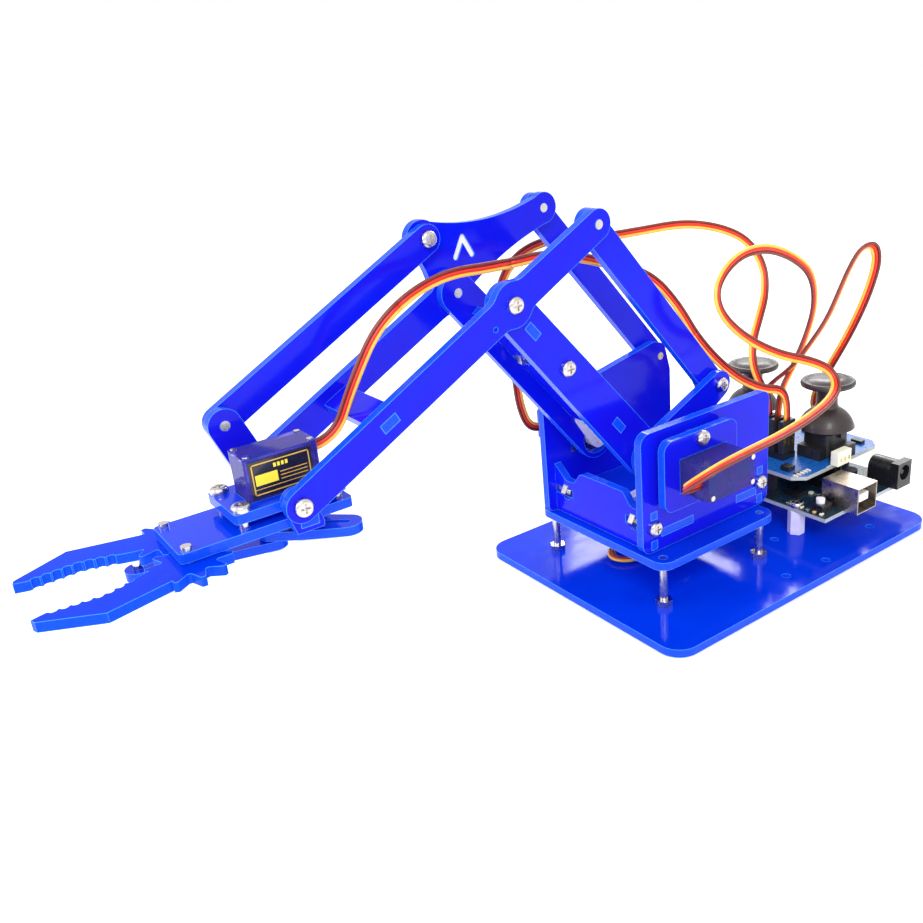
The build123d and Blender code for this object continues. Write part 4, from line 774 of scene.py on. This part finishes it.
def case_screws():
    """Four small screws at the corners of each servo's back."""
    for name, (body, axis, side) in SERVO_BACKS.items():
        low, high = [Vector(corner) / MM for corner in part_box(f"{name}_servo_case")]
        depth = "XYZ".index(axis)
        across = 3 - depth
        half = SERVO_WIDTH / 2 - CASE_SCREW_INSET
        middle = (low[across] + high[across]) / 2
        ends = (low[0] + EAR_LENGTH + CASE_SCREW_INSET, high[0] - EAR_LENGTH - CASE_SCREW_INSET)
        bm = bmesh.new()
        for x in ends:
            for offset in (-half, half):
                place = [x, 0.0, 0.0]
                place[across] = middle + offset
                place[depth] = (high if side > 0 else low)[depth] + side * CASE_SCREW[1] * 0.2
                turn = Matrix.Rotation(math.radians(90), 4, "X") if axis == "Y" else Matrix()
                where = Matrix.Translation(mm(place)) @ turn
                radius, height = CASE_SCREW[0] * MM, CASE_SCREW[1] * MM
                bmesh.ops.create_cone(
                    bm, cap_ends=True, segments=20, radius1=radius, radius2=radius, depth=height,
                    matrix=where,
                )
        piece = smooth(mesh_piece(f"{name}_case_screws", bm, [plated_steel]))
        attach(piece, body)


def labels():
    low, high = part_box("gripper_servo_case")
    top, near = high[2] / MM, high[1] / MM
    left, right = low[0] / MM + 7.1, high[0] / MM - 5.7
    servo_label("gripper_servo_label", "hand", (left, near, top - 12.2), (right, near, top - 1.2))


def board_trim():
    """Gold pins, pale chips and a cream connector on the two boards."""
    low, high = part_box("shield_board")
    x0, x1 = low[0] / MM, high[0] / MM
    y0, y1 = low[1] / MM, high[1] / MM
    top = high[2] / MM
    bm = bmesh.new()
    for row in range(2):
        for index in range(14):
            y = y0 + 5.0 + PIN_PITCH * index
            x = x0 + 2.5 if row == 0 else x1 - 2.6
            add_box(bm, (x - 0.45, y - 0.45, top), (x + 0.45, y + 0.45, top + 0.7), 0, 0.1)
    for index in range(5):
        x = x1 - 10.0 + 2 * index
        add_box(bm, (x, y1 - 4.2, top), (x + 1.1, y1 - 2.2, top + 0.5), 1, 0.08)
    add_box(bm, (-76.0, 29.3, top), (-66.5, 29.55, top + 0.1), 1)
    piece = mesh_piece("shield_pins", bm, [plated_steel, cream_plastic])
    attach(piece, "base")
    low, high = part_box("controller_board")
    edge, top_2 = high[1] / MM, high[2] / MM
    right = high[0] / MM
    bm = bmesh.new()
    for index in range(6):
        y = edge - 4.0 - 3.1 * index
        slot = index % 3
        other = (index + 1) % 3
        add_box(bm, (right - 3.2, y, top_2), (right - 1.4, y + 1.1, top_2 + 0.7), slot, 0.1)
        add_box(bm, (right - 16.5, y + 0.4, top_2), (right - 14.9, y + 2.0, top_2 + 0.9), other, 0.1)
    piece = mesh_piece("controller_trim", bm, [cream_plastic, wire_orange, plated_steel])
    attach(piece, "base")
    bm = bmesh.new()
    add_box(bm, (-77.5, y1 - 0.4, top + 0.1), (-69.0, y1 + 3.2, top + 6.0), 0, 0.3)
    for index in range(3):
        x = -75.8 + 2.5 * index
        add_box(bm, (x - 0.3, y1 + 3.1, top + 2.0), (x + 0.3, y1 + 3.4, top + 3.4), 1)
    piece = mesh_piece("stick_connector", bm, [cream_plastic, gold])
    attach(piece, "base")


# ---------------------------------------------------------------- floor and light
FLOOR_HALF = 40.0             # metres, so the floor reaches past the horizon
FLOOR_DROP = 0.0002
LIGHTS = (                    # name, place, size, watts
    ("key", (0.55, 0.75, 0.85), (0.5, 0.5), 9.0),
    ("rim", (-0.7, -0.5, 0.6), (0.6, 0.3), 6.0),
    ("fill", (0.9, -0.3, 0.45), (0.5, 0.5), 4.0),
)
LIT_CENTRE = (0.05, 0, 0.06)


def make_stage():
    """White floor that glows a little, so it meets the white world without a line."""
    bm = bmesh.new()
    bmesh.ops.create_grid(bm, x_segments=2, y_segments=2, size=FLOOR_HALF)
    look = Look("floor", (0.93, 0.93, 0.94), 0.55)
    look.to("Roughness", look.spread(look.noise(6.0), 0.5, 0.62))
    look.shader.inputs["Emission Color"].default_value = (1, 1, 1, 1)
    look.shader.inputs["Emission Strength"].default_value = 0.08
    floor = mesh_piece("floor", bm, [look.material])
    floor.location.z = -FLOOR_DROP
    world = bpy.data.worlds.new("studio")
    world.use_nodes = True
    world.node_tree.nodes["Background"].inputs["Color"].default_value = (1, 1, 1, 1)
    world.node_tree.nodes["Background"].inputs["Strength"].default_value = 1.0
    bpy.context.scene.world = world


def make_lights():
    """Soft rectangular lights that point at the arm."""
    for name, place, size, watts in LIGHTS:
        data = bpy.data.lights.new(name, "AREA")
        data.shape = "RECTANGLE"
        data.size, data.size_y = size
        data.energy = watts
        light = link(bpy.data.objects.new(name, data))
        light.location = place
        toward = Vector(LIT_CENTRE) - Vector(place)
        light.rotation_euler = toward.to_track_quat("-Z", "Y").to_euler()


# ---------------------------------------------------------------- put it together
make_camera()
gripper_leads()
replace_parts(whole_lead("elbow", (0, 0, 1), ("turret", "base")), "servo_plugs")
whole_lead("shoulder", (0, 0, 1), ("turret", "base"))
whole_lead("base", (0, 1, 0), ("base",))
dress_frame()
thumb_caps()
labels()
case_screws()
board_trim()
make_stage()
make_lights()
bpy.context.scene.view_settings.view_transform = "Standard"
